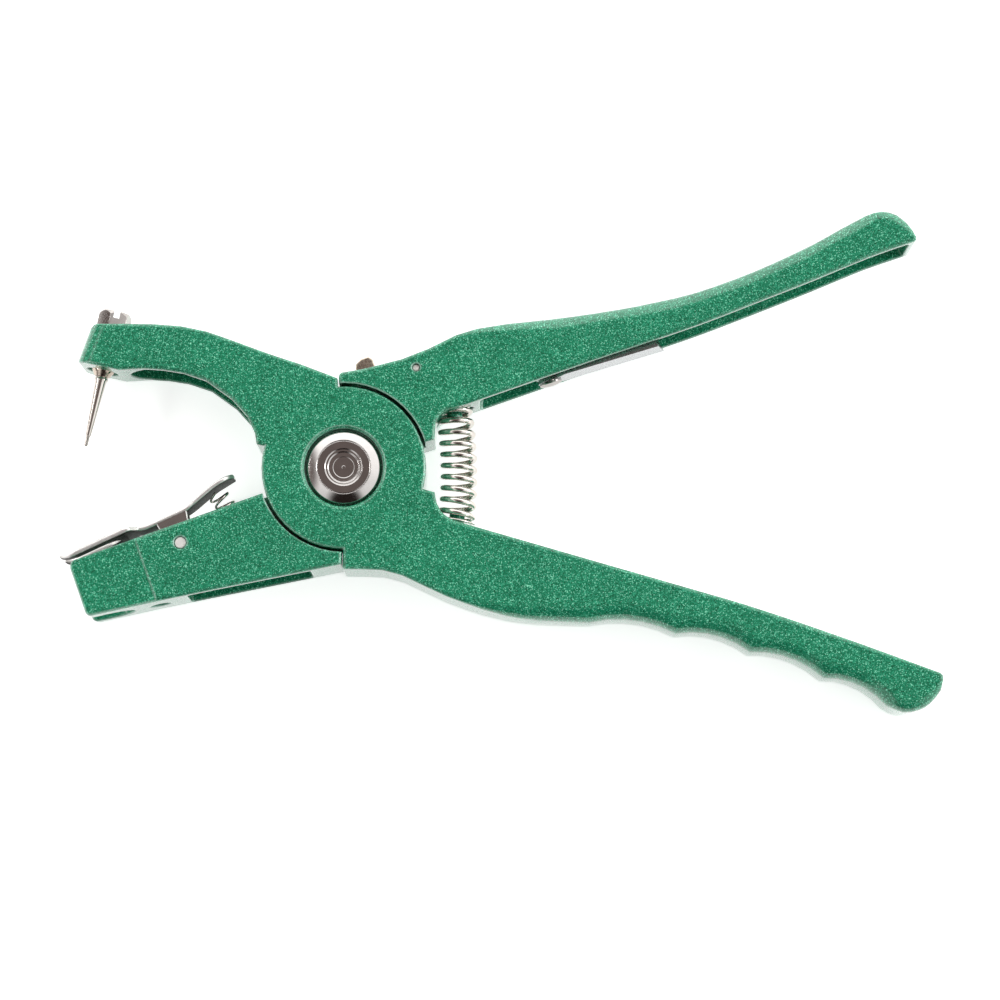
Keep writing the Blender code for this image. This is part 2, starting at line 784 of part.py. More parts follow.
def nose_corner(side):
    """Cutter that rounds one upright corner of the boss, front or back."""
    r = NOSE_ROUND
    past = 0.002
    low = nose_low()
    up = nose_top() - low
    shape = [(-r, past), (past, past), (past, -r)]
    shape += [
        (r * math.sin(a) - r, r * math.cos(a) - r)
        for a in (math.pi / 2 * k / 5 for k in range(5, -1, -1))
    ]
    frame = axis_frame(low, MID + side * MID, up, (0.0, 0.0, side))
    name = "Boss corner front" if side > 0 else "Boss corner back"
    corner = plate(name, shape, -0.006, up.length + 0.006, CUTTERS)
    flip = Matrix.Diagonal((side, 1.0, 1.0, 1.0))
    corner.data.transform(flip)
    if side < 0:
        corner.data.flip_normals()
    corner.matrix_world = frame @ corner.matrix_world
    return corner


def nose_top():
    return Vector((-JAW_REACH - 0.0026, JAW_TOP))


def nose_low():
    return boss_point(0.0066, 0.0)


def jaw_pocket():
    """Channel under the upper jaw that takes the clip's thumb end when closed."""
    reach = JAW_REACH
    left = -0.885 * reach
    roof = [
        (left, JAW_TOP - JAW_ROOF - 0.0002),
        (-0.666 * reach, JAW_TOP - JAW_ROOF - 0.0008),
        (-0.563 * reach, JAW_TOP - JAW_ROOF - 0.0026),
        (-0.450 * reach, 0.0300),
        (-0.0262, 0.0232),
        (-0.0244, 0.0185),
        (-0.0250, 0.0125),
    ]
    outline = [(-0.0300, 0.0080), (-0.0450, 0.0150), (left, 0.0180)] + roof
    outline.reverse()
    pocket = plate("Jaw pocket", outline, JAW_WALL, THICKNESS - JAW_WALL, CUTTERS)
    bevelled(pocket, 0.0012)
    combine(pocket, pocket_plan(left), "INTERSECT")
    return pocket


def pocket_plan(left):
    """Jaw pocket seen from below: open towards the hub, round at its far end."""
    half = MID - JAW_WALL + 0.0004
    turn = [math.pi * k / 12 for k in range(13)]
    shape = [(left + JAW_POCKET_ROUND * (1 - math.sin(a)), MID - half * math.cos(a)) for a in turn]
    shape += [(0.0, MID + half), (0.0, MID - half)]
    shape.reverse()
    plan = plate("Jaw pocket plan", shape, -0.040, 0.0, CUTTERS)
    plan.matrix_world = Matrix.Rotation(math.radians(90), 4, "X") @ plan.matrix_world
    return plan


def pin_frame(z=MID):
    """Placement on the applicator pin's axis, at the boss face, Z up the axis."""
    return axis_frame(boss_point(0.0, 0.0), z, boss_point(0.0, 1.0) - boss_point(0.0, 0.0))


def boss_length():
    """Length of the boss along the pin's axis, from its face to the screw seat."""
    tilt = math.radians(PIN_TILT)
    return (JAW_TOP - BOSS_HEIGHT) / math.cos(tilt) - SCREW_SEAT_DEPTH


def pin_bore():
    bore = max(PIN_STUD_RADIUS, SCREW_SHANK_RADIUS) + PIN_FIT
    top = boss_length()
    seat = SCREW_ACROSS_FLATS / math.sqrt(3) + SEAT_GAP
    profile = [(0.0, top + 0.008), (seat, top + 0.008), (seat, top), (bore, top)]
    profile += [(bore, PIN_SEAT_DEPTH), (PIN_SEAT_RADIUS, PIN_SEAT_DEPTH)]
    profile += [(PIN_SEAT_RADIUS, -0.003), (0.0, -0.003)]
    return turned("Applicator pin bore", profile, CUTTERS, pin_frame(), 32)


def pin_profile():
    """Applicator pin from its stud down to its tip, heights from the boss face."""
    seat = PIN_SEAT_DEPTH - SEAT_GAP
    bead = -FERRULE_HEIGHT + seat - SEAT_GAP
    r = PIN_TOP_RADIUS
    return [
        (0.0, seat + PIN_STUD_LENGTH),
        (PIN_STUD_RADIUS - 0.0004, seat + PIN_STUD_LENGTH),
        (PIN_STUD_RADIUS, seat + PIN_STUD_LENGTH - 0.0004),
        (PIN_STUD_RADIUS, seat + SEAT_GAP),
        (r, seat + SEAT_GAP),
        (r, bead),
        (r + 0.0003, bead - 0.0002),
        (r + 0.0003, bead - 0.0008),
        (r, bead - 0.0010),
        (PIN_STEP_RADIUS, -PIN_LENGTH + PIN_TIP_LENGTH),
        (PIN_TIP_RADIUS, -PIN_LENGTH + PIN_TIP_LENGTH - 0.0003),
        (PIN_TIP_RADIUS, -PIN_LENGTH + 0.0004),
        (PIN_TIP_RADIUS * 0.5, -PIN_LENGTH),
        (0.0, -PIN_LENGTH),
    ]


def make_pin_group(parts, steel, brass, nickel):
    pin = turned("applicator_pin", pin_profile(), parts, pin_frame(), 20)
    give(pin, steel)
    seat = PIN_SEAT_DEPTH - SEAT_GAP
    bore = PIN_TOP_RADIUS + PIN_FIT
    foot = seat - FERRULE_HEIGHT
    profile = [
        (bore, seat),
        (FERRULE_RADIUS, seat),
        (FERRULE_RADIUS, seat - 0.0007),
        (bore + 0.0009, foot + 0.0009),
        (bore + 0.0004, foot),
        (bore, foot),
    ]
    ferrule = turned("pin_ferrule", profile, parts, pin_frame(), 24, closed=True)
    give(ferrule, brass)
    make_pin_screw(parts, nickel)


def make_pin_screw(parts, nickel):
    """Slotted hexagon screw that holds the pin from the top of the jaw."""

    def turn_of(degrees):
        return Matrix.Rotation(math.radians(degrees), 4, "Z")

    low = boss_length() + SEAT_GAP
    high = low + SCREW_HEAD_HEIGHT
    corner = SCREW_ACROSS_FLATS / math.sqrt(3)
    frame = pin_frame()
    bm = bmesh.new()
    bmesh.ops.create_cone(
        bm,
        cap_ends=True,
        segments=6,
        radius1=corner,
        radius2=corner,
        depth=SCREW_HEAD_HEIGHT,
        matrix=Matrix.Translation((0, 0, (low + high) / 2)) @ turn_of(SCREW_TURN),
    )
    mesh = bpy.data.meshes.new("pin_screw")
    bm.to_mesh(mesh)
    bm.free()
    screw = link(bpy.data.objects.new("pin_screw", mesh), parts)
    screw.matrix_world = frame
    crown = [(0.0, high), (corner * 0.82, high), (corner, high - 0.0012), (corner, low - 0.001)]
    crown += [(0.0, low - 0.001)]
    combine(screw, turned("Screw crown", crown, CUTTERS, frame, 24), "INTERSECT")
    shank = rod("Screw shank", SCREW_SHANK_RADIUS, low - SCREW_SHANK_LENGTH, low + 0.001, CUTTERS, frame, 24)
    combine(screw, shank, "UNION")
    slot_size = (SCREW_SLOT_WIDTH, 3 * corner, 2 * SCREW_SLOT_DEPTH)
    across = frame @ Matrix.Translation((0, 0, high)) @ turn_of(SCREW_SLOT_TURN)
    slot = block("Screw slot", slot_size, CUTTERS, across)
    combine(screw, slot)
    give(screw, nickel)


def make_tag_lever(parts, paint):
    outline = tag_lever_outline()
    lever = rounded_plate("tag_lever", outline, parts)
    for cutter in tag_jaw_cutters():
        combine(lever, cutter)
    combine(lever, handle_channel(tag=True))
    recess, peg = spring_seat(tag=True)
    combine(lever, recess)
    combine(lever, peg, "UNION")
    combine(lever, holder_boss(), "UNION")
    combine(lever, holder_screw_hole())
    combine(lever, latch_slot())
    combine(lever, latch_pin_hole())
    combine(lever, hub_disc(tag=True), "UNION")
    combine(lever, hub_cut(tag=True))
    give(lever, paint)
    return even_shading(lever)


def jaw_frame(along, height, z=MID):
    """Placement on the tag jaw: X away from the pivot, Y into the jaw, Z up."""
    return flat_frame(in_jaw(along, height), 180.0 + TAG_JAW_ANGLE, z)


def tag_jaw_cutters():
    """Everything that is open in the lower jaw."""
    half = TAG_SLOT_WIDTH / 2
    beyond = TAG_JAW_NOSE + 0.004
    up = Matrix.Rotation(math.radians(-90), 4, "X")
    centre = TAG_SLOT_END + half
    slot_plan = [(beyond, -half), (beyond, half)]
    slot_plan += [(centre - half * math.sin(a), half * math.cos(a)) for a in half_turn()]
    slot = plate("Nose slot", slot_plan, 0.005, 0.026, CUTTERS)
    slot.matrix_world = jaw_frame(0.0, 0.0) @ up @ slot.matrix_world
    side = [
        in_jaw(TAG_CHANNEL_END, 0.004),
        in_jaw(TAG_CHANNEL_END, -TAG_LEDGE_DEPTH),
        in_jaw(TAG_LEDGE_START, -TAG_LEDGE_DEPTH),
        in_jaw(TAG_LEDGE_START, -TAG_CHANNEL_DEPTH),
        in_jaw(beyond, -TAG_CHANNEL_DEPTH),
        in_jaw(beyond, 0.004),
    ]
    wide = half + TAG_SLOT_DRAFT
    channel = plate("Clip channel", side, MID - wide, MID + wide, CUTTERS)
    hole = rod(
        "Web hole", TAG_WEB_HOLE_RADIUS, -0.015, 0.015, CUTTERS, jaw_frame(TAG_WEB_HOLE_AT, -0.015) @ up, 20
    )
    pin = rod(
        "Clip pin hole",
        CLIP_PIN_RADIUS + PIN_FIT,
        -0.001,
        THICKNESS + 0.001,
        CUTTERS,
        jaw_frame(CLIP_PIN_AT, -CLIP_PIN_DEPTH, 0.0),
        24,
    )
    width = THICKNESS - 2 * JAW_WALL
    pocket_outline = [
        in_jaw(TAG_POCKET_START, -0.0300),
        in_jaw(TAG_POCKET_START, -0.0170),
        in_jaw(0.0270, -TAG_POCKET_ROOF),
        in_jaw(0.0345, -TAG_POCKET_ROOF),
        in_jaw(TAG_LEDGE_START, -TAG_CHANNEL_DEPTH - 0.0025),
        in_jaw(TAG_POCKET_END, -TAG_CHANNEL_DEPTH - 0.0037),
        in_jaw(TAG_POCKET_END, -0.0300),
    ]
    pocket = plate("Jaw belly pocket", pocket_outline, MID - width / 2, MID + width / 2, CUTTERS)
    bevelled(pocket, 0.0012)
    steps = []
    for side, z in (("front", THICKNESS), ("back", 0.0)):
        size = (0.040, 0.040, 2 * NOSE_STEP)
        steps.append(block(f"Nose step {side}", size, CUTTERS, jaw_frame(NOSE_STEP_AT + 0.020, -0.010, z)))
    return [slot, channel, hole, pin, pocket] + steps


def make_pivot(parts, steel):
    """Turned pivot: front head with a stepped dimple, shank and riveted tail."""
    r = PIVOT_HEAD_RADIUS
    top = THICKNESS
    d = PIVOT_DIMPLE_RADIUS
    deep = PIVOT_DIMPLE_DEPTH
    low = top - PIVOT_HEAD_DEPTH
    profile = [
        (0.0, top - deep),
        (0.45 * d, top - deep),
        (0.59 * d, top - 0.80 * deep),
        (0.72 * d, top - 0.78 * deep),
        (0.84 * d, top - 0.32 * deep),
        (0.93 * d, top - 0.26 * deep),
        (d, top),
        (r - PIVOT_HEAD_BEVEL, top),
        (r - 0.0002, top - 0.0011),
        (r, top - 0.0014),
        (r, low),
        (PIVOT_SHANK_RADIUS, low),
        (PIVOT_SHANK_RADIUS, PIVOT_COLLAR_DEPTH + SEAT_GAP),
        (PIVOT_TAIL_RADIUS, PIVOT_COLLAR_DEPTH + SEAT_GAP),
        (PIVOT_TAIL_RADIUS, 0.0),
        (0.0, 0.0),
    ]
    give(turned("pivot_pin", profile, parts, steps=40), steel)
    bore = PIVOT_TAIL_RADIUS + PIN_FIT
    ring = [
        (bore, PIVOT_COLLAR_DEPTH),
        (r, PIVOT_COLLAR_DEPTH),
        (r, 0.0012),
        (r - PIVOT_HEAD_BEVEL / 2, 0.0),
        (bore, 0.0),
    ]
    give(turned("pivot_collar", ring, parts, steps=40, closed=True), steel)


def helix(centre_line, radius, turns, per_turn=10, hand=1.0):
    """Points of a coil round a middle line given as place and direction."""
    points = []
    total = int(turns * per_turn)
    for k in range(total + 1):
        share = k / total
        place, way = centre_line(share)
        side = Vector((-way.y, way.x, 0.0))
        angle = 2 * math.pi * k / per_turn
        round_part = side * math.cos(angle) + Vector((0, 0, hand)) * math.sin(angle)
        points.append(Vector((place.x, place.y, MID)) + radius * round_part)
    return points


def make_return_spring(parts, steel):
    """Compression spring: closed end turns, open turns between them."""

    def middle(share):
        ends = 1.0 / SPRING_TURNS
        flat = 2 * SPRING_WIRE * 1.1 / (Vector(SPRING_TAG_END) - Vector(SPRING_PIN_END)).length
        if share < ends:
            share = share / ends * flat
        elif share > 1 - ends:
            share = 1 - (1 - share) / ends * flat
        else:
            share = flat + (share - ends) / (1 - 2 * ends) * (1 - 2 * flat)
        return spring_point(share)

    points = helix(middle, SPRING_RADIUS, SPRING_TURNS, hand=-1.0)
    place, _ = spring_point(0.5)
    origin = Vector((place.x, place.y, MID))
    give(coil("return_spring", points, SPRING_WIRE, parts, origin), steel)


def clip_profile():
    """Middle line of the clip's sheet, in the XY plane, from its tip to its thumb end."""
    pin = in_jaw(CLIP_PIN_AT, -CLIP_PIN_DEPTH)
    line = [
        (-0.0342, -0.0032),
        (-0.0330, -0.0036),
        (-0.0316, -0.0035),
        (-0.0302, -0.0030),
        (-0.0152, 0.0040),
        (-0.0137, 0.0044),
        (-0.0106, 0.0048),
        (-0.0080, 0.0060),
        (0.0009, 0.0101),
        (0.0044, 0.0132),
        (0.0089, 0.0171),
        (0.0125, 0.0192),
        (0.0142, 0.0199),
    ]
    return [pin + Vector(p) for p in line]


def offset_line(points, distance):
    """Line moved sideways, to its left where the distance is positive."""
    moved = []
    last = len(points) - 1
    for i, point in enumerate(points):
        before = (point - points[i - 1]).normalized() if i else None
        after = (points[i + 1] - point).normalized() if i < last else None
        if before is None:
            before = after
        if after is None:
            after = before
        mean = (before + after).normalized()
        normal = Vector((-mean.y, mean.x))
        moved.append(point + normal * distance / mean.dot(before))
    return moved


def ribbed(points, start, direction):
    """Line with the clip's gripping ribs set into its front stretch."""
    a = points[start]
    b = points[start + 1]
    along = (b - a).normalized()
    normal = Vector((-along.y, along.x)) * direction
    ribs = []
    for k in range(CLIP_RIB_COUNT):
        at = a + along * (0.5 * CLIP_RIB_PITCH + k * CLIP_RIB_PITCH)
        if (at - a).length > (b - a).length - CLIP_RIB_PITCH:
            break
        ribs.append(at)
        ribs.append(at + along * CLIP_RIB_PITCH / 2 + normal * CLIP_RIB_DEPTH)
    return points[: start + 1] + ribs + points[start + 1 :]


def make_clip(parts, sheet, nickel):
    """Spring clip: forked ribbed plate, two ears on the pin and a thumb arm."""
    pin = in_jaw(CLIP_PIN_AT, -CLIP_PIN_DEPTH)
    line = clip_profile()
    upper = ribbed(offset_line(line, CLIP_SHEET / 2), 3, -1.0)
    lower = ribbed(offset_line(line, -CLIP_SHEET / 2), 3, 1.0)
    outline = [tuple(p) for p in lower] + [tuple(p) for p in reversed(upper)]
    half = CLIP_WIDTH / 2
    clip = plate("clip_plate", outline, MID - half, MID + half, parts, tuple(pin))
    plan = clip_plan(pin, line)
    combine(clip, plan, "INTERSECT")
    for side in (-1.0, 1.0):
        combine(clip, clip_ear(side, pin, line), "UNION")
    hole = rod(
        "Clip ear hole",
        CLIP_PIN_RADIUS + PIN_FIT,
        -0.001,
        THICKNESS + 0.001,
        CUTTERS,
        flat_frame(pin, 0.0),
        24,
    )
    combine(clip, hole)
    give(clip, sheet)
    clip_pin = rod("clip_pin", CLIP_PIN_RADIUS, NOSE_STEP / 2, THICKNESS - NOSE_STEP / 2, parts, flat_frame(pin, 0.0), 24)
    give(clip_pin, nickel)


def clip_plan(pin, line):
    """Blank of the clip seen from above: fork, shoulders, neck and thumb end."""
    tilt = math.radians(TAG_JAW_ANGLE + 6.0)
    along = Vector((math.cos(tilt), math.sin(tilt)))

    def x_of(point):
        return (point - pin).dot(along)

    tip = x_of(line[0]) - 0.002
    shoulder = x_of(line[4]) + 0.0003
    neck = x_of(line[5]) + 0.0010
    arm_start = x_of(line[8]) + 0.0012
    end = x_of(line[-1]) + 0.0010
    half = CLIP_WIDTH / 2
    narrow = CLIP_NECK_WIDTH / 2
    arm = CLIP_ARM_WIDTH / 2
    fork = CLIP_FORK_WIDTH / 2
    fork_end = x_of(line[3]) - 0.0050 + CLIP_FORK_DEPTH
    shape = [(tip, half - 0.0010), (tip, fork)]
    shape += [(fork_end - fork + fork * math.sin(a), fork * math.cos(a)) for a in half_turn()]
    shape += [(tip, -fork), (tip, -half + 0.0010), (tip + 0.0040, -half)]
    shape += [(shoulder, -half), (neck, -narrow), (arm_start, -narrow)]
    thumb = [math.pi * k / 12 for k in range(13)]
    shape += [(end - arm + arm * math.sin(a), -arm * math.cos(a)) for a in thumb]
    shape += [(arm_start, narrow), (neck, narrow), (shoulder, half), (tip + 0.0040, half)]
    plan = plate("Clip plan", shape, -0.030, 0.030, CUTTERS)
    frame = Matrix(
        (
            (along.x, 0.0, -along.y, pin.x),
            (along.y, 0.0, along.x, pin.y),
            (0.0, -1.0, 0.0, MID),
            (0.0, 0.0, 0.0, 1.0),
        )
    )
    plan.matrix_world = frame
    return plan


def clip_ear(side, pin, line):
    """Folded ear that hangs from the clip's sheet and turns on its pin."""
    outer = MID + side * CLIP_NECK_WIDTH / 2
    inner = outer - side * CLIP_SHEET
    top_a = line[7] + Vector((0.0003, 0.0))
    top_b = line[8] + Vector((0.0002, 0.0))
    away = Vector((math.cos(math.radians(TAG_JAW_ANGLE)), math.sin(math.radians(TAG_JAW_ANGLE))))
    down = Vector((away.y, -away.x))
    shape = [tuple(top_b), tuple(top_a)]
    radius = CLIP_EAR_BELOW
    left = pin - away * radius
    right = pin + away * radius
    shape.append(tuple(left + (top_a - left) * 0.25))
    for k in range(9):
        angle = math.pi * k / 8
        shape.append(tuple(pin - away * radius * math.cos(angle) + down * radius * math.sin(angle)))
    shape.append(tuple(right + (top_b - right) * 0.25))
    low, high = sorted((inner, outer))
    return plate(f"Clip ear {'front' if side > 0 else 'back'}", shape, low, high, CUTTERS)


def make_clip_spring(parts, steel):
    """Small coil under the clip's thumb arm."""
    base = in_jaw(CLIP_SPRING_AT, -TAG_LEDGE_DEPTH + SEAT_GAP + CLIP_SPRING_WIRE)
    up = in_jaw(CLIP_SPRING_AT, 1.0) - in_jaw(CLIP_SPRING_AT, 0.0)

    def middle(share):
        lean = Matrix.Rotation(math.radians(CLIP_SPRING_LEAN * share), 2)
        half_lean = Matrix.Rotation(math.radians(CLIP_SPRING_LEAN * share / 2), 2)
        return base + half_lean @ up * CLIP_SPRING_LENGTH * share, lean @ up

    points = helix(middle, CLIP_SPRING_RADIUS - CLIP_SPRING_WIRE, CLIP_SPRING_TURNS)
    origin = Vector((base.x, base.y, MID))
    give(coil("clip_spring", points, CLIP_SPRING_WIRE, parts, origin), steel)


def latch_nose():
    """Tip of the latch's nose at rest, just off the rim of the other lever's disc."""
    return polar(HUB_RADIUS + 2 * SEAT_GAP, LATCH_NOSE_ANGLE)


def latch_outline():
    """Latch in the XY plane: eye on its pin, arm, thumb tab and nose."""
    eye = Vector(LATCH_PIN)
    nose = latch_nose()
    tab_right = Vector((0.0082, 0.0305))
    tab_left = tab_right + Vector((-LATCH_TAB_LENGTH, -0.0012))
    rise = Vector((-0.0002, LATCH_TAB_RISE - 0.0006))
    outline = []
    for k in range(9):
        angle = math.radians(-110 + 200 * k / 8)
        outline.append(eye + 0.0026 * Vector((math.cos(angle), math.sin(angle))))
    outline += [
        tab_right + Vector((0.0010, -0.0022)),
        tab_right,
        tab_right + 0.55 * rise + Vector((-0.0002, 0)),
        tab_right + rise + Vector((-0.0014, 0.0)),
        tab_left + rise + Vector((0.0016, 0.0004)),
        tab_left + 0.5 * rise + Vector((0.0001, 0)),
        tab_left + Vector((0.0, -0.0014)),
        nose + Vector((-0.0015, 0.0022)),
        nose + Vector((-0.0011, 0.0004)),
        nose + Vector((0.0009, 0.0002)),
        nose + Vector((0.0017, 0.0024)),
    ]
    return outline


def make_latch(parts, nickel):
    low = LATCH_Z - LATCH_SHEET / 2
    high = LATCH_Z + LATCH_SHEET / 2
    latch = plate("lock_latch", [tuple(p) for p in latch_outline()], low, high, parts, LATCH_PIN)
    hole = rod(
        "Latch eye hole",
        LATCH_PIN_RADIUS + PIN_FIT,
        -0.001,
        THICKNESS + 0.001,
        CUTTERS,
        flat_frame(LATCH_PIN, 0.0),
        20,
    )
    combine(latch, hole)
    bevelled(latch, 0.0003, 1)
    give(latch, nickel)
    depth = 0.0006
    pin = rod("latch_pin", LATCH_PIN_RADIUS, depth, THICKNESS - depth, parts, flat_frame(LATCH_PIN, 0.0), 20)
    give(pin, nickel)


def latch_slot():
    """Slot in the root of the tag handle that the latch swings in."""
    half = LATCH_SHEET / 2 + SEAT_GAP
    eye = Vector(LATCH_PIN)
    outline = [
        (0.0015, 0.0400),
        (0.0015, 0.0240),
        polar(ARC_RADIUS - 0.0015, 82.0),
        polar(ARC_RADIUS - 0.0015, 70.0),
        polar(ARC_RADIUS - 0.0015, 58.0),
        eye + Vector((0.0006, -0.0034)),
        eye + Vector((0.0034, -0.0012)),
        eye + Vector((0.0034, 0.0022)),
        (0.0215, 0.0400),
    ]
    shape = [tuple(p) for p in reversed(outline)]
    return plate("Latch slot", shape, LATCH_Z - half, LATCH_Z + half, CUTTERS)


def latch_pin_hole():
    return rod(
        "Latch pin hole",
        LATCH_PIN_RADIUS + PIN_FIT,
        -0.001,
        THICKNESS + 0.001,
        CUTTERS,
        flat_frame(LATCH_PIN, 0.0),
        20,
    )


def latch_notch(turn):
    """Notch in the pin lever's disc for the latch's nose, at one end of the swing."""
    top = HUB_RADIUS + 0.0015
    size = (LATCH_NOTCH_WIDTH, top - LATCH_NOTCH_FLOOR, LATCH_SHEET + 2 * SEAT_GAP)
    centre = turned_by((LATCH_NOTCH_AT, (top + LATCH_NOTCH_FLOOR) / 2), turn)
    name = "Latch notch open" if turn == 0.0 else "Latch notch closed"
    return block(name, size, CUTTERS, flat_frame(centre, turn, LATCH_Z))


def holder_frame():
    """Placement of the spare pin holder: X along it, Y out of the handle's mouth."""
    at = in_arm(TAG_HANDLE_ANGLE, HOLDER_AT, HOLDER_OFFSET)
    angle = math.radians(TAG_HANDLE_ANGLE + HOLDER_TILT)
    along = Vector((math.cos(angle), math.sin(angle), 0.0))
    out = Vector((math.sin(angle), -math.cos(angle), 0.0))
    across = along.cross(out)
    return Matrix(
        (
            (along.x, out.x, across.x, at.x),
            (along.y, out.y, across.y, at.y),
            (along.z, out.z, across.z, MID),
            (0.0, 0.0, 0.0, 1.0),
        )
    )


def holder_axis():
    """Placement on the holder screw's axis, Z out of the handle's mouth."""
    return holder_frame() @ Matrix.Rotation(math.radians(-90), 4, "X")


def make_holder(parts, sheet, nickel, steel):
    """Folded strip, open side into the handle, that keeps a spare pin."""
    frame = holder_frame()
    half = HOLDER_WIDTH / 2
    end_radius = HOLDER_END_RADIUS
    t = HOLDER_SHEET
    round_end = [
        (-end_radius * math.sin(a), end_radius * math.cos(a)) for a in half_turn()
    ]
    flare = end_radius + HOLDER_SHEET
    base = round_end + [(flare / 2, -end_radius), (flare, -half)]
    base += [(HOLDER_LENGTH - half - 0.0022, -half), (HOLDER_LENGTH - half, half)]
    base += [(flare, half), (flare / 2, end_radius)]
    flat = Matrix.Rotation(math.radians(90), 4, "X")
    strip = plate("pin_holder", base, -t / 2, t / 2, parts)
    strip.matrix_world = frame @ flat
    for side in (-1.0, 1.0):
        z = side * (half - t / 2)
        end = HOLDER_LENGTH - half - (0.0 if side > 0 else 0.0022)
        wall = [(flare, t / 2), (flare + 0.0016, t / 2 - HOLDER_HEIGHT)]
        wall += [(end - 0.0010, t / 2 - HOLDER_HEIGHT), (end, t / 2)]
        name = "Holder flange front" if side > 0 else "Holder flange back"
        flange = plate(name, wall, z - t / 2, z + t / 2, CUTTERS)
        flange.matrix_world = frame @ flange.matrix_world
        combine(strip, flange, "UNION")
    hole = rod("Holder screw clearance", HOLDER_SHANK_RADIUS + PIN_FIT, -0.004, 0.004, CUTTERS, holder_axis(), 20)
    combine(strip, hole)
    give(strip, sheet)
    face = t / 2 + SEAT_GAP
    r = HOLDER_SCREW_RADIUS
    dome = [(0.0, face + HOLDER_SCREW_DOME)]
    dome += [
        (r * math.sin(a), face + HOLDER_SCREW_DOME * (math.cos(a) * 0.8 + 0.2))
        for a in (math.radians(d) for d in (25, 50, 72, 90))
    ]
    dome += [(r, face), (HOLDER_SHANK_RADIUS, face)]
    dome += [(HOLDER_SHANK_RADIUS, face - HOLDER_SHANK_LENGTH), (0.0, face - HOLDER_SHANK_LENGTH)]
    give(turned("holder_screw", dome, parts, holder_axis(), 20), nickel)
    spare = turned("spare_pin", pin_profile(), parts, spare_pin_frame(), 16)
    give(spare, steel)


def spare_pin_frame():
    """Spare pin lying in the holder, stud towards the holder's screw."""
    lift = -(HOLDER_SHEET / 2 + SEAT_GAP + PIN_STUD_RADIUS)
    start = HOLDER_SCREW_RADIUS + PIN_STUD_LENGTH + 0.0016
    place = holder_frame() @ Matrix.Translation((start, lift, 0.0))
    return place @ Matrix.Rotation(math.radians(-90), 4, "Y")


def holder_boss():
    """Post inside the tag handle that the holder's screw goes into."""
    low = HOLDER_SHEET / 2 + SEAT_GAP
    frame = holder_axis()
    return rod("Holder post", HOLDER_BOSS_RADIUS, -0.017, -low, CUTTERS, frame, 24)


def holder_screw_hole():
    depth = HOLDER_SHANK_LENGTH + 0.001
    return rod("Holder screw hole", HOLDER_SHANK_RADIUS + PIN_FIT, -depth, 0.002, CUTTERS, holder_axis(), 20)


def joint_empty(name, place, children, parts):
    """Empty on a joint's axis that carries the pieces which turn on it."""
    empty = link(bpy.data.objects.new(name, None), parts)
    empty.empty_display_size = 0.01
    empty.location = place
    bpy.context.view_layer.update()
    for child in children:
        obj = bpy.data.objects[child]
        world = obj.matrix_world.copy()
        obj.parent = empty
        obj.matrix_parent_inverse = empty.matrix_world.inverted()
        obj.matrix_world = world
    return empty


def build():
    paint = material("Green flake enamel", (0.023, 0.254, 0.125), 0.45, 0.32)
    steel = material("Polished steel", (0.62, 0.60, 0.58), 1.0, 0.18)
    sheet = material("Chromed sheet", (0.72, 0.71, 0.70), 1.0, 0.15)
    nickel = material("Nickel plate", (0.66, 0.63, 0.58), 1.0, 0.22)
    brass = material("Tinned brass", (0.62, 0.47, 0.30), 1.0, 0.30)
    make_pin_lever(PARTS, paint)
    make_tag_lever(PARTS, paint)
    make_pivot(PARTS, steel)
    make_pin_group(PARTS, steel, brass, nickel)
    make_clip(PARTS, sheet, nickel)
    make_clip_spring(PARTS, steel)
    make_return_spring(PARTS, steel)
    make_latch(PARTS, nickel)
    make_holder(PARTS, sheet, nickel, steel)
    pin = in_jaw(CLIP_PIN_AT, -CLIP_PIN_DEPTH)
    swing = joint_empty(
        "lever_swing",
        (0, 0, 0),
        ["tag_lever", "clip_pin", "latch_pin", "pin_holder", "holder_screw", "spare_pin", "return_spring"],
        PARTS,
    )
    clip = joint_empty("clip_swing", (pin.x, pin.y, 0), ["clip_plate", "clip_spring"], PARTS)
    latch = joint_empty("latch_swing", (*LATCH_PIN, 0), ["lock_latch"], PARTS)
    for child in (clip, latch):
        child.parent = swing


for old in list(bpy.data.objects):
    bpy.data.objects.remove(old)
PARTS = bpy.data.collections.new("Ear tag applicator")
CUTTERS = bpy.data.collections.new("Cutters")
bpy.context.scene.collection.children.link(PARTS)
bpy.context.scene.collection.children.link(CUTTERS)
build()
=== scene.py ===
# %% [markdown]
# # Ear tag applicator
#
# The tool is a pair of cast aluminium levers, sprayed with green flake enamel,
# that cross on a steel pivot. One jaw carries a tapered pin and the other a
# sprung clip of bright sheet. The imported CAD model is the frame: every piece
# here is made in its place, in metres, and all but the two springs ride on one
# of its bodies.

import math

import bmesh
import bpy
from mathutils import Matrix, Vector


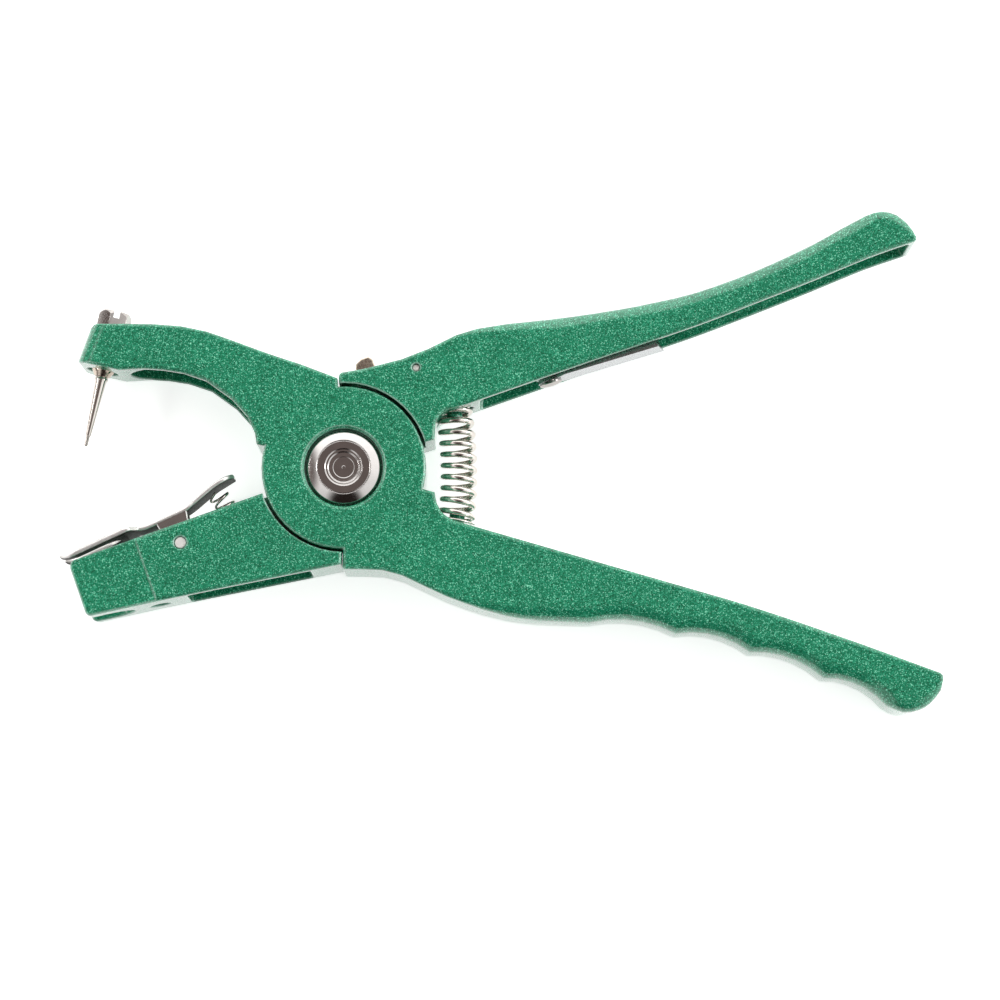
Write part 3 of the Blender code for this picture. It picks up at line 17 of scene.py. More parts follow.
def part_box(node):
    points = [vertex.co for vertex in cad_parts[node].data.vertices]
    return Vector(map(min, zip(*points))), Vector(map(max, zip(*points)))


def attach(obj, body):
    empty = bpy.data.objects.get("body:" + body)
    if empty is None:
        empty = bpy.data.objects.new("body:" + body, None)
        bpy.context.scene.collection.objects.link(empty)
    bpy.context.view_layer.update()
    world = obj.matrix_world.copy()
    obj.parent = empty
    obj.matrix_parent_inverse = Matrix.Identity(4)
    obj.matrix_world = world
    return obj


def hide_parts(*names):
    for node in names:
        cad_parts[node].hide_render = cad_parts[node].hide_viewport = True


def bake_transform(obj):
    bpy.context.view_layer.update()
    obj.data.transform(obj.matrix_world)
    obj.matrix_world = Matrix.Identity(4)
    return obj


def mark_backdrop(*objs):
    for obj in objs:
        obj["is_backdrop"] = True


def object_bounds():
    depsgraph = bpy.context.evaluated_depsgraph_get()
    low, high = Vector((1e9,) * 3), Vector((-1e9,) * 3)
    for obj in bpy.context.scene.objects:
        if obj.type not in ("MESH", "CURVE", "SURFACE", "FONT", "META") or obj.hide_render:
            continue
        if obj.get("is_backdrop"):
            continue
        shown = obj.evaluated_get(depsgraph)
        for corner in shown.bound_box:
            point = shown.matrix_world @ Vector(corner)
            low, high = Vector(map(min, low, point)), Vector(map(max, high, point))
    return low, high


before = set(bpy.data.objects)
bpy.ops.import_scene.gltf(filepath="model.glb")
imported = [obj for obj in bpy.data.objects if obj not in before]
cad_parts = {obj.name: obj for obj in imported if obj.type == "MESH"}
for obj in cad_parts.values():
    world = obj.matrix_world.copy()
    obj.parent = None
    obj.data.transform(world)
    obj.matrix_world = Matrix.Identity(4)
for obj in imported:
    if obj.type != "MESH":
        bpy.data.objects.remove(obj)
cad_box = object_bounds()
MM = 0.001
thickness = cad_box[1][2]
mid = thickness / 2
print("thickness of the tool:", round(thickness / MM, 1), "mm")

# %% [markdown]
# ## Camera
#
# The tool lies flat and is seen from almost straight above. The camera leans
# back 7.5 degrees, so the walls that face the bottom of the picture just show.
# A long lens keeps the outline free of perspective.

# %% camera
CAMERA_LENS = 118.98
CAMERA_SENSOR = 36.0
CAMERA_PLACE = (0.0440, -0.1305, 0.9420)
CAMERA_LEAN = math.radians(7.5)
CAMERA_NEAR = 0.01

camera_data = bpy.data.cameras.new("Copy stand camera")
camera_data.sensor_width = CAMERA_SENSOR
camera_data.lens = CAMERA_LENS
camera_data.clip_start = CAMERA_NEAR
camera = bpy.data.objects.new("Copy stand camera", camera_data)
camera.location = CAMERA_PLACE
camera.rotation_euler = (CAMERA_LEAN, 0.0, 0.0)
bpy.context.scene.collection.objects.link(camera)
bpy.context.scene.camera = camera
bpy.context.scene.view_settings.view_transform = "Standard"
print("camera height:", camera.location.z, "m")

# %% [markdown]
# ## Helpers for materials
#
# A colour is written as the hex value that it has on screen, and one function
# turns it into the linear light that the shader works with. One more function
# adds a node with its settings and its links.


# %% colour and node helpers
def linear(hex_colour, alpha=1.0):
    """Linear colour of an sRGB hex value such as '#2F8563'."""
    text = hex_colour.lstrip("#")
    channels = [int(text[i : i + 2], 16) / 255.0 for i in (0, 2, 4)]
    return tuple(
        c / 12.92 if c <= 0.04045 else ((c + 0.055) / 1.055) ** 2.4 for c in channels
    ) + (alpha,)


def add_node(tree, kind, settings=None, **links):
    """Node with its settings (properties or unlinked inputs) and linked sockets.

    An input that shares its name with another goes by its number: a key in the
    settings, and input0, input1 and so on among the links.
    """
    node = tree.nodes.new(kind)
    for name, value in (settings or {}).items():
        if isinstance(name, str) and hasattr(node, name):
            setattr(node, name, value)
        else:
            node.inputs[name].default_value = value
    for name, socket in links.items():
        key = int(name[5:]) if name.startswith("input") else name.replace("_", " ")
        tree.links.new(socket, node.inputs[key])
    return node


def colour_ramp(tree, value, tones):
    """Colour that goes through pairs of a place from zero to one and a linear colour."""
    ramp = add_node(tree, "ShaderNodeValToRGB", Fac=value)
    stops = ramp.color_ramp.elements
    stops[0].position, stops[0].color = tones[0]
    stops[1].position, stops[1].color = tones[-1]
    for place, colour in tones[1:-1]:
        stops.new(place).color = colour
    return ramp.outputs["Color"]


def new_finish(name, **shader_settings):
    """Material with its tree, its Principled shader and the place in object space."""
    mat = bpy.data.materials.new(name)
    mat.use_nodes = True
    tree = mat.node_tree
    shader = tree.nodes["Principled BSDF"]
    for socket, value in shader_settings.items():
        shader.inputs[socket.replace("_", " ")].default_value = value
    place = add_node(tree, "ShaderNodeTexCoord").outputs["Object"]
    return mat, tree, shader, place


print("white paper in linear light:", [round(c, 3) for c in linear("#FFFFFF")])

# %% [markdown]
# ## Green flake enamel
#
# The castings are aluminium, sprayed with a gloss enamel that holds mica and
# aluminium flakes under a clear top coat. Close up, the paint is a green that
# changes from flake to flake: most flakes are near the mean colour, a few lie
# tilted away and look dark, and some catch the light and look mint. Real flakes
# are 0.05 to 0.3 mm, here 0.22 mm, under one pixel.
#
# A cell pattern gives each flake a colour and a tilt of its own, where the dark
# and mint colours are painted shade and painted glints, and the coat over it
# stays smooth, so the sparkle lies under the gloss as in real paint.

# %% flake enamel
FLAKE = 0.22 * MM
FLAKE_LEAN = 0.12
# Random tones with painted shade and glints: from flakes that lie tilted away, painted
# dark, by the paint's mean, to those that shine, painted mint.
FLAKE_TONES_AND_GLINTS = [
    (0.00, linear("#074B32")),
    (0.32, linear("#13805B")),
    (0.66, linear("#13805B")),
    (0.88, linear("#41B189")),
    (1.00, linear("#92EBC8")),
]
CLOUD = 9 * MM
CLOUD_TONE = (0.92, 1.06)
PEEL = 2.4 * MM
PEEL_DEPTH = 0.2 * MM

# Painted highlight on the rims: a mask compares the rounded normal with the face's own,
# and where their dot product falls from the first of these values to the second, the
# paint turns to the highlight colour, on rims that face sideways or the camera's foot.
RIM_HIGHLIGHT_COLOUR = linear("#C4EADB")
RIM_ROUND = 1.0 * MM
HIGHLIGHT_BENT = (0.985, 0.91)
HIGHLIGHT_SIDEWAYS = 0.8
HIGHLIGHT_BACKWARDS = 0.8
HIGHLIGHT_FACING = (0.08, 0.25)
HIGHLIGHT_SHARE = 0.8


def flake_colour(tree, place, cells):
    """Colour of each flake, painted dark or mint for its shade or glint, with a cloud over
    all where the spray lies thicker.
    """
    tone = add_node(tree, "ShaderNodeSeparateColor", Color=cells)
    colour = colour_ramp(tree, tone.outputs["Red"], FLAKE_TONES_AND_GLINTS)
    cloud = add_node(
        tree, "ShaderNodeTexNoise", {"Scale": 1.0 / CLOUD, "Detail": 3.0}, Vector=place
    )
    low, high = CLOUD_TONE
    depth = add_node(
        tree,
        "ShaderNodeMapRange",
        {"From Min": 0.3, "From Max": 0.7, "To Min": low, "To Max": high},
        Value=cloud.outputs["Fac"],
    )
    toned = add_node(
        tree,
        "ShaderNodeVectorMath",
        {"operation": "SCALE"},
        input0=colour,
        Scale=depth.outputs["Result"],
    )
    return toned.outputs[0]


def painted_rim_highlight(tree, smooth):
    """Share of painted highlight: on the rims that face sideways or the camera's foot."""
    flatness = add_node(
        tree,
        "ShaderNodeVectorMath",
        {"operation": "DOT_PRODUCT"},
        input0=smooth,
        input1=add_node(tree, "ShaderNodeNewGeometry").outputs["Normal"],
    )
    on_rim = add_node(
        tree,
        "ShaderNodeMapRange",
        {"From Min": HIGHLIGHT_BENT[0], "From Max": HIGHLIGHT_BENT[1]},
        Value=flatness.outputs["Value"],
    )
    lie = add_node(tree, "ShaderNodeSeparateXYZ", Vector=smooth)
    sideways = add_node(
        tree, "ShaderNodeMath", {"operation": "ABSOLUTE"}, input0=lie.outputs["X"]
    )
    backwards = add_node(
        tree,
        "ShaderNodeMath",
        {"operation": "MULTIPLY", 1: -HIGHLIGHT_BACKWARDS},
        input0=lie.outputs["Y"],
    )
    facing = add_node(
        tree,
        "ShaderNodeMath",
        {"operation": "MULTIPLY_ADD", 1: HIGHLIGHT_SIDEWAYS},
        input0=sideways.outputs[0],
        input2=backwards.outputs[0],
    )
    towards = add_node(
        tree,
        "ShaderNodeMapRange",
        {"From Min": HIGHLIGHT_FACING[0], "From Max": HIGHLIGHT_FACING[1], "To Max": HIGHLIGHT_SHARE},
        Value=facing.outputs[0],
    )
    share = add_node(
        tree,
        "ShaderNodeMath",
        {"operation": "MULTIPLY"},
        input0=on_rim.outputs["Result"],
        input1=towards.outputs["Result"],
    )
    return share.outputs[0]


def leaned_normal(tree, smooth, cells):
    """Normal that leans a little its own way on each flake, so a few mirror a lamp."""
    lean = add_node(
        tree,
        "ShaderNodeVectorMath",
        {"operation": "MULTIPLY_ADD", 1: (2 * FLAKE_LEAN,) * 3, 2: (-FLAKE_LEAN,) * 3},
        input0=cells,
    )
    leaned = add_node(
        tree,
        "ShaderNodeVectorMath",
        {"operation": "ADD"},
        input0=smooth,
        input1=lean.outputs[0],
    )
    unit = add_node(
        tree, "ShaderNodeVectorMath", {"operation": "NORMALIZE"}, input0=leaned.outputs[0]
    )
    return unit.outputs[0]


def flake_enamel():
    """Enamel with flakes in it and a painted highlight on the rims, under a smooth clear
    coat.
    """
    mat, tree, shader, place = new_finish(
        "Green flake enamel on cast aluminium",
        Metallic=0.12,
        Roughness=0.45,
        Specular_IOR_Level=0.1,
        Coat_Weight=1.0,
        Coat_Roughness=0.04,
        Coat_IOR=1.6,
    )
    flakes = add_node(
        tree,
        "ShaderNodeTexVoronoi",
        {"voronoi_dimensions": "3D", "feature": "F1", "Scale": 1.0 / FLAKE},
        Vector=place,
    )
    cells = flakes.outputs["Color"]
    # Wet paint draws itself round over every edge, by about a millimetre.
    rim = add_node(tree, "ShaderNodeBevel", {"samples": 6, "Radius": RIM_ROUND})
    smooth = rim.outputs["Normal"]
    # The base colour mixes the flake paint with a painted highlight on the rims.
    paint_with_highlight = add_node(
        tree,
        "ShaderNodeMix",
        {"data_type": "RGBA", 7: RIM_HIGHLIGHT_COLOUR},
        input0=painted_rim_highlight(tree, smooth),
        input6=flake_colour(tree, place, cells),
    )
    # The clear coat has the faint orange peel of a sprayed surface.
    peel = add_node(
        tree, "ShaderNodeTexNoise", {"Scale": 1.0 / PEEL, "Detail": 1.0}, Vector=place
    )
    coat = add_node(
        tree,
        "ShaderNodeBump",
        {"Strength": 0.06, "Distance": PEEL_DEPTH},
        Height=peel.outputs["Fac"],
        Normal=smooth,
    )
    tree.links.new(paint_with_highlight.outputs[2], shader.inputs["Base Color"])
    tree.links.new(leaned_normal(tree, smooth, cells), shader.inputs["Normal"])
    tree.links.new(coat.outputs["Normal"], shader.inputs["Coat Normal"])
    return mat


enamel = flake_enamel()
print("flakes in 10 mm of paint:", round(10 * MM / FLAKE))

# %% [markdown]
# ## Bright metals
#
# The pivot and the pin are turned steel, polished and nickel plated. The clip,
# the latch and the strip in the handle are plated sheet. Polishing and handling
# leave fine marks on all of them, which show as a slight change in how sharp a
# reflection is, and the plate's tone drifts a little over a few millimetres.

# %% plated metals
# A mark is this much sharper or duller than the metal's roughness.
SPREAD = (0.7, 1.5)
HAZE = 3 * MM
HAZE_TONE = 0.93
MARK_DEPTH = 0.02 * MM


def plated(name, colour, rough, grain, marks=0.10):
    """Plated metal with fine marks: their width, and how strongly they stand out."""
    mat, tree, shader, place = new_finish(name, Metallic=1.0)
    lines = add_node(
        tree,
        "ShaderNodeTexNoise",
        {"Scale": 1.0 / grain, "Detail": 4.0, "Roughness": 0.6},
        Vector=place,
    ).outputs["Fac"]
    low, high = rough * SPREAD[0], rough * SPREAD[1]
    gloss = add_node(
        tree,
        "ShaderNodeMapRange",
        {"From Min": 0.3, "From Max": 0.7, "To Min": low, "To Max": high},
        Value=lines,
    )
    haze = add_node(
        tree, "ShaderNodeTexNoise", {"Scale": 1.0 / HAZE, "Detail": 2.0}, Vector=place
    )
    full = linear(colour)
    dimmer = tuple(c * HAZE_TONE for c in full[:3]) + (1.0,)
    tint = colour_ramp(tree, haze.outputs["Fac"], [(0.35, dimmer), (0.65, full)])
    bump = add_node(
        tree, "ShaderNodeBump", {"Strength": marks, "Distance": MARK_DEPTH}, Height=lines
    )
    tree.links.new(gloss.outputs["Result"], shader.inputs["Roughness"])
    tree.links.new(tint, shader.inputs["Base Color"])
    tree.links.new(bump.outputs["Normal"], shader.inputs["Normal"])
    return mat


# Turned, polished and plated: a mirror with hardly a mark on it.
pivot_steel = plated(
    "Polished nickel plate on turned steel", "#C6C2BF", 0.11, 0.6 * MM, 0.01
)
# Ground and polished after hardening: clean, slightly warm reflections.
pin_steel = plated("Hardened steel, polished", "#D5CEC7", 0.12, 0.3 * MM)
# Drawn and plated wire: bright, with the faint marks of the die.
spring_steel = plated("Nickel plated spring wire", "#DDD6CF", 0.13, 0.4 * MM)
# Rolled, plated and tumbled: bright, with fine handling marks.
bright_sheet = plated("Nickel plated sheet steel", "#D6D4D1", 0.14, 0.5 * MM, 0.08)
# Barrel plated after turning: glossy and a little darker.
screw_nickel = plated("Nickel plated screw", "#B4AFAB", 0.10, 0.5 * MM, 0.04)
# Thin plate that has rubbed through in places: warmer and softer.
worn_brass = plated("Worn nickel plate over brass", "#C6B8AA", 0.18, 0.5 * MM, 0.08)
# Struck by a hammer: pale and matt, with small dents.
peened_steel = plated("Hammered end of a plated pin", "#F0EEEA", 0.55, 0.45 * MM, 1.0)
# Blanked and plated: a satin flat that mirrors the warm ceiling.
latch_nickel = plated("Warm nickel plate on steel", "#CDBFAE", 0.26, 0.6 * MM, 0.06)
# Zinc plate, passivated: cool and satin.
strip_sheet = plated("Satin zinc plated strip", "#BDBEC0", 0.24, 0.5 * MM, 0.02)
# Torn by the shear and tumbled smooth: a pale satin line round the sheet.
sheared_edge = plated("Sheared and tumbled edge of sheet", "#F3F1EE", 0.36, 0.35 * MM, 0.5)
# Painted shade for the sheet's inner side: no metal, dark and nearly without a reflection.
painted_shade_sheet = plated(
    "Inner side of the sheet, painted dark as shade", "#3B3431", 0.45, 0.5 * MM
)
shade_inputs = painted_shade_sheet.node_tree.nodes["Principled BSDF"].inputs
shade_inputs["Metallic"].default_value = 0.0
shade_inputs["Specular IOR Level"].default_value = 0.15
print("metals:", pivot_steel.name, "/", bright_sheet.name)

# %% [markdown]
# ## Pieces that take their shape from the frame
#
# The castings are already true to shape in the frame, but their meshes are
# loose flat triangles. A copy is merged, its flat faces are joined into whole
# ones, and its sharp edges get the small radius that sand casting and two coats
# of paint leave. Smooth shading then lets a highlight run round the rims.


# %% dress a copy of a frame solid
def finished(mesh, name, body, node, mat):
    """Object for a finished mesh, in place, on its body if it has one."""
    piece = bpy.data.objects.new(name, mesh)
    bpy.context.scene.collection.objects.link(piece)
    mesh.materials.clear()
    mesh.materials.append(mat)
    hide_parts(node)
    if body:
        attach(piece, body)
    return piece


def merged_copy(node, join=0.02 * MM, flat=0.6):
    """bmesh of a frame solid with its doubles merged and its flat faces joined."""
    bm = bmesh.new()
    bm.from_mesh(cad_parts[node].data)
    bmesh.ops.remove_doubles(bm, verts=bm.verts, dist=join)
    bmesh.ops.dissolve_limit(
        bm,
        angle_limit=math.radians(flat),
        use_dissolve_boundaries=False,
        verts=bm.verts,
        edges=bm.edges,
        delimit={"NORMAL"},
    )
    return bm


def broken_edges(bm, width, above=38.0, steps=3):
    """Rounds every edge that is sharper than an angle, and counts them."""
    sharp = [
        e
        for e in bm.edges
        if e.is_manifold and math.degrees(e.calc_face_angle(0.0)) > above
    ]
    bmesh.ops.bevel(
        bm,
        geom=sharp,
        offset=width,
        offset_type="OFFSET",
        affect="EDGES",
        segments=steps,
        profile=0.5,
        clamp_overlap=True,
        material=-1,
    )
    return len(sharp)


def shaded(bm, name, sharp_above=42.0):
    """Mesh of a bmesh, shaded smooth except at edges sharper than an angle."""
    mesh = bpy.data.meshes.new(name)
    bm.to_mesh(mesh)
    bm.free()
    mesh.shade_smooth()
    mesh.set_sharp_from_angle(angle=math.radians(sharp_above))
    return mesh


def even_light(piece):
    """Weighs the shading by the size of each face, so flat faces stay flat."""
    even = piece.modifiers.new("Even shading", "WEIGHTED_NORMAL")
    even.keep_sharp = True
    even.weight = 80
    return piece


def dressed(node, name, body, mat, slot, edge=None, ease=None):
    """Piece with the shape of a frame solid, merged, softened and shaded."""
    bm = merged_copy(node)
    if ease:
        ease(bm)
    count = broken_edges(bm, edge) if edge else 0
    piece = finished(shaded(bm, name), name, body, node, mat)
    print(f"{name}: {count} edges rounded, {len(piece.data.polygons)} faces")
    return even_light(piece)


# %% step on the lower jaw
JAW_SLOPE = math.radians(19.8)
NOSE_AT = 61.0 * MM
NOSE_STEP = 0.40 * MM
NOSE_LEFT = 0.15 * MM
NOSE_NEAR = 0.03 * MM


def eased_step(bm):
    """Paint and grinding leave less of the cast step in front of the clip's web."""
    for vert in bm.verts:
        along = -(vert.co.x * math.cos(JAW_SLOPE) + vert.co.y * math.sin(JAW_SLOPE))
        for face_z, way in ((0.0, 1.0), (thickness, -1.0)):
            off_step = abs(vert.co.z - face_z - way * NOSE_STEP)
            if along > NOSE_AT and off_step < NOSE_NEAR:
                vert.co.z = face_z + way * NOSE_LEFT
                break


# %% the two castings
CAST_EDGE = 0.42 * MM

dressed("pin_lever", "pin_casting", "pin_side", enamel, "enamel", CAST_EDGE)
dressed("tag_lever", "tag_casting", "tag_side", enamel, "enamel", CAST_EDGE, eased_step)

# %% [markdown]
# ## Turned pieces
#
# A lathe makes the pivot and its rear head, so here a profile is spun about an
# axis. The profile is a chain of points, the distance from the axis and the
# height, and one helper rounds its corners before the spin.


# %% lathe helpers
def soft_profile(points, radius, steps=3, most=0.4):
    """Line whose inner corners are rounded, each over at most a share of its sides."""
    points = [Vector(p) for p in points]
    soft = [points[0]]
    for before, corner, after in zip(points, points[1:], points[2:]):
        reach = min(radius, most * (before - corner).length, most * (after - corner).length)
        a = corner + (before - corner).normalized() * reach
        b = corner + (after - corner).normalized() * reach
        for k in range(steps + 1):
            t = k / steps
            soft.append(a * (1 - t) ** 2 + corner * 2 * t * (1 - t) + b * t**2)
    soft.append(points[-1])
    return soft


def spun(profile, steps=144):
    """Turned solid of a profile about the Z axis."""
    bm = bmesh.new()
    ring = [bm.verts.new((p[0], 0.0, p[1])) for p in profile]
    edges = [bm.edges.new(pair) for pair in zip(ring, ring[1:])]
    bmesh.ops.spin(
        bm,
        geom=ring + edges,
        cent=(0, 0, 0),
        axis=(0, 0, 1),
        dvec=(0, 0, 0),
        angle=2 * math.pi,
        steps=steps,
        use_merge=True,
    )
    bmesh.ops.remove_doubles(bm, verts=bm.verts, dist=0.001 * MM)
    bmesh.ops.recalc_face_normals(bm, faces=bm.faces)
    return bm


# %% [markdown]
# The pivot's head sits in a counterbore of the front disc. It has a stepped
# dimple left by the rivet tool, a flat ring with a fine groove, and a wide
# polished bevel. The rear head is a collar on the pivot's tail.

# %% pivot
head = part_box("pivot_pin")[1].x
collar_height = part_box("pivot_collar")[1].z
SHANK = 6.0 * MM
TAIL = 4.0 * MM
HEAD_DEPTH = 3.5 * MM
COLLAR_GAP = 0.3 * MM
# Radius in mm, and depth in mm below the top of the head.
DIMPLE = [
    (0.00, 0.84),
    (0.35, 0.78),
    (0.60, 0.86),
    (2.90, 0.80),
    (3.05, 0.73),
    (4.25, 0.58),
    (4.45, 0.34),
    (5.10, 0.24),
    (5.30, 0.00),
]
# Distance in mm inside the head's edge, and depth in mm below its top.
RING_AND_BEVEL = [
    (2.95, 0.00),
    (2.84, 0.14),
    (2.74, 0.14),
    (2.60, 0.02),
    (0.20, 1.15),
    (0.00, 1.40),
]
pivot_profile = [(radius * MM, thickness - depth * MM) for radius, depth in DIMPLE]
pivot_profile += [
    (head - inside * MM, thickness - depth * MM) for inside, depth in RING_AND_BEVEL
]
pivot_profile += [
    (head, thickness - HEAD_DEPTH),
    (SHANK, thickness - HEAD_DEPTH),
    (SHANK, collar_height + COLLAR_GAP),
    (TAIL, collar_height + COLLAR_GAP),
    (TAIL, 0.0),
    (0.0, 0.0),
]
pivot_solid = spun(soft_profile(pivot_profile, 0.12 * MM))
pivot_mesh = shaded(pivot_solid, "pivot", sharp_above=35.0)
finished(pivot_mesh, "pivot", "pin_side", "pivot_pin", pivot_steel)
print("pivot head:", round(2 * head / MM, 1), "mm across")

# %% rear head of the pivot
REAR_BORE = TAIL + 0.15 * MM
REAR_MOUTH = TAIL + 0.6 * MM
REAR_MOUTH_DEPTH = 0.3 * MM
REAR_BEVEL = 1.4 * MM
REAR_BEVEL_DEPTH = 1.2 * MM
rear_profile = [
    (REAR_BORE, collar_height),
    (head, collar_height),
    (head, REAR_BEVEL_DEPTH),
    (head - REAR_BEVEL, 0.0),
    (REAR_MOUTH, 0.0),
    (REAR_BORE, REAR_MOUTH_DEPTH),
    (REAR_BORE, collar_height),
]
rear_solid = spun(soft_profile(rear_profile, 0.15 * MM))
rear_mesh = shaded(rear_solid, "pivot_rear_head", sharp_above=24.0)
finished(rear_mesh, "pivot_rear_head", "pin_side", "pivot_collar", pivot_steel)
print("rear head:", round(collar_height / MM, 1), "mm high")

# %% [markdown]
# ## Small fittings
#
# Screws, sheet pieces and pins keep the frame's shape. Most have their edges
# broken, as tumbling before plating leaves them.

# %% fittings
# Node, name of the piece, body, finish, slot, and width of its broken edges.
FITTINGS = [
    ("applicator_pin", "tagging_pin", "pin_side", pin_steel, "steel", None),
    ("pin_ferrule", "pin_collar", "pin_side", worn_brass, "tinned_brass", None),
    ("pin_screw", "jaw_screw", "pin_side", screw_nickel, "nickel", 0.2 * MM),
    ("clip_pin", "clip_cross_pin", "tag_side", peened_steel, "nickel", 0.3 * MM),
    ("lock_latch", "thumb_latch", "latch", latch_nickel, "nickel", 0.2 * MM),
    ("latch_pin", "latch_cross_pin", "tag_side", peened_steel, "nickel", 0.2 * MM),
    ("pin_holder", "handle_strip", "tag_side", strip_sheet, "chromed_sheet", 0.15 * MM),
    ("holder_screw", "strip_screw", "tag_side", screw_nickel, "nickel", None),
    ("spare_pin", "spare_pin_bright", "tag_side", pin_steel, "steel", None),
]
for fitting in FITTINGS:
    dressed(*fitting)

# %% [markdown]
# ## Springs
#
# Both springs are cold coiled from plated wire. Spinning a small circle about
# an axis, with a step along the axis each time, sweeps a straight coil, whose
# axis is then laid along a line between the two seats.


# %% coil helpers
def wound(turns, radius, wire, length, hand=1.0, per_turn=36, sides=12):
    """Straight coil along +Z, from zero to a length, wound to one hand or the other."""
    bm = bmesh.new()
    section = bmesh.ops.create_circle(
        bm,
        cap_ends=True,
        segments=sides,
        radius=wire,
        matrix=Matrix.Translation((radius, 0, 0)) @ Matrix.Rotation(math.pi / 2, 4, "X"),
    )
    steps = int(turns * per_turn)
    bmesh.ops.spin(
        bm,
        geom=section["verts"] + bm.edges[:] + bm.faces[:],
        cent=(0, 0, 0),
        axis=(0, 0, 1),
        dvec=(0, 0, length / steps),
        angle=hand * 2 * math.pi * turns,
        steps=steps,
        use_duplicate=False,
    )
    bmesh.ops.recalc_face_normals(bm, faces=bm.faces)
    return bm


def laid_along(bm, line):
    """Moves a straight coil so that its axis follows a line given as a function."""
    for vert in bm.verts:
        place, way = line(vert.co.z)
        side = Vector((-way.y, way.x, 0.0))
        vert.co = place + side * vert.co.x + Vector((0, 0, 1)) * vert.co.y
    bmesh.ops.recalc_face_normals(bm, faces=bm.faces)
    return bm


# %% [markdown]
# The return spring pushes the handles apart. It bows a little away from the
# pivot, and its last turn at each end is wound close and sits on a cast peg.

# %% return spring
SPRING_TURNS = 11
SPRING_WIRE = 0.8 * MM
SPRING_RADIUS = 4.6 * MM
SPRING_BOW = 1.2 * MM
CLOSE_PITCH = 2.2 * SPRING_WIRE
# Middle of the seat on each handle's peg, in mm.
TAG_SEAT = Vector((30.7, 18.6, 0.0))
PIN_SEAT = Vector((31.6, -14.6, 0.0))
spring_tag_end = TAG_SEAT * MM + Vector((0, 0, mid))
spring_pin_end = PIN_SEAT * MM + Vector((0, 0, mid))
spring_chord = spring_pin_end - spring_tag_end
spring_bow = Vector((-spring_chord.y, spring_chord.x, 0.0)).normalized() * SPRING_BOW


def spring_line(height):
    """Place and direction on the spring's bowed axis, its end turns close wound."""
    share = min(1.0, max(0.0, height / spring_chord.length))
    end = 1.0 / SPRING_TURNS
    close = CLOSE_PITCH / spring_chord.length
    if share < end:
        share = share / end * close
    elif share > 1 - end:
        share = 1 - (1 - share) / end * close
    else:
        share = close + (share - end) / (1 - 2 * end) * (1 - 2 * close)
    place = spring_tag_end + spring_chord * share + spring_bow * 4 * share * (1 - share)
    return place, (spring_chord + spring_bow * 4 * (1 - 2 * share)).normalized()


straight = wound(SPRING_TURNS, SPRING_RADIUS, SPRING_WIRE, spring_chord.length, hand=-1.0)
coil_mesh = shaded(laid_along(straight, spring_line), "return_coil", sharp_above=60.0)
return_coil = finished(
    coil_mesh, "return_coil", None, "return_spring", spring_steel
)
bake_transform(return_coil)
print("return spring faces:", len(return_coil.data.polygons))

# %% [markdown]
# The clip's coil stands on the floor of the jaw's channel and leans towards the
# thumb arm that it lifts. It is wound in place along that leaning line.

# %% clip spring
JAW_TOP = 0.9 * MM
COIL_TURNS = 3.25
COIL_WIRE = 0.38 * MM
COIL_RADIUS = 3.0 * MM - COIL_WIRE
COIL_LENGTH = 8.2 * MM
COIL_LEAN = math.radians(26.0)
COIL_AT = 34.7 * MM
COIL_FLOOR = -2.32 * MM


def in_jaw(along, height):
    """Point of the lower jaw: distance from the pivot and height over its top."""
    drop = -(JAW_TOP + height)
    return Vector(
        (
            -along * math.cos(JAW_SLOPE) + drop * math.sin(JAW_SLOPE),
            -along * math.sin(JAW_SLOPE) - drop * math.cos(JAW_SLOPE),
            mid,
        )
    )


coil_foot = in_jaw(COIL_AT, COIL_FLOOR)
jaw_up = (in_jaw(COIL_AT, 1.0) - in_jaw(COIL_AT, 0.0)).normalized()


def coil_line(height):
    """Place and direction on the coil's axis, which curves over as it rises."""
    share = height / COIL_LENGTH
    half_way = Matrix.Rotation(COIL_LEAN * share / 2, 3, "Z") @ jaw_up
    leaned = Matrix.Rotation(COIL_LEAN * share, 3, "Z") @ jaw_up
    return coil_foot + half_way * height, leaned


straight = wound(COIL_TURNS, COIL_RADIUS, COIL_WIRE, COIL_LENGTH, sides=8)
wire_mesh = shaded(laid_along(straight, coil_line), "clip_coil", sharp_above=60.0)
clip_coil = finished(wire_mesh, "clip_coil", None, "clip_spring", spring_steel)
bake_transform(clip_coil)
print("clip spring faces:", len(clip_coil.data.polygons))

# %% [markdown]
# ## Clip
#
# The clip is blanked from one strip of 1.3 mm sheet: a forked, finely ribbed
# front, a narrow neck, two ears folded down to the cross pin, and a thumb arm
# with a round end. A flat grid is laid along the bent middle line, with the width
# and the fork set row by row. Solidify gives it the sheet's thickness and Bevel
# rounds the cut edges, because tumbled sheet has edges that catch the light.

# %% bends of the clip
# Corners of the middle line in mm from the cross pin, from the tip to the thumb.
CLIP_BENDS = [
    (-34.2, -3.2),
    (-33.0, -3.6),
    (-31.6, -3.5),
    (-30.2, -3.0),
    (-15.2, 4.0),
    (-13.7, 4.4),
    (-10.6, 4.8),
    (-8.0, 6.0),
    (0.9, 10.1),
    (4.4, 13.2),
    (8.9, 17.1),
    (12.5, 19.2),
    (14.2, 19.9),
]
# Corners of that list where a part of the clip begins or ends.
RIBS_FROM, RIBS_TO, NECK_FROM, ON_NECK, EAR_FROM, ARM_FROM = 3, 4, 5, 6, 7, 8
BEND_ROUND = 2.0 * MM
pin_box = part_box("clip_pin")
clip_axis = Vector(((pin_box[0].x + pin_box[1].x) / 2, (pin_box[0].y + pin_box[1].y) / 2))
bends = [clip_axis + Vector(p) * MM for p in CLIP_BENDS]
bent_line = soft_profile(bends, BEND_ROUND, 6)


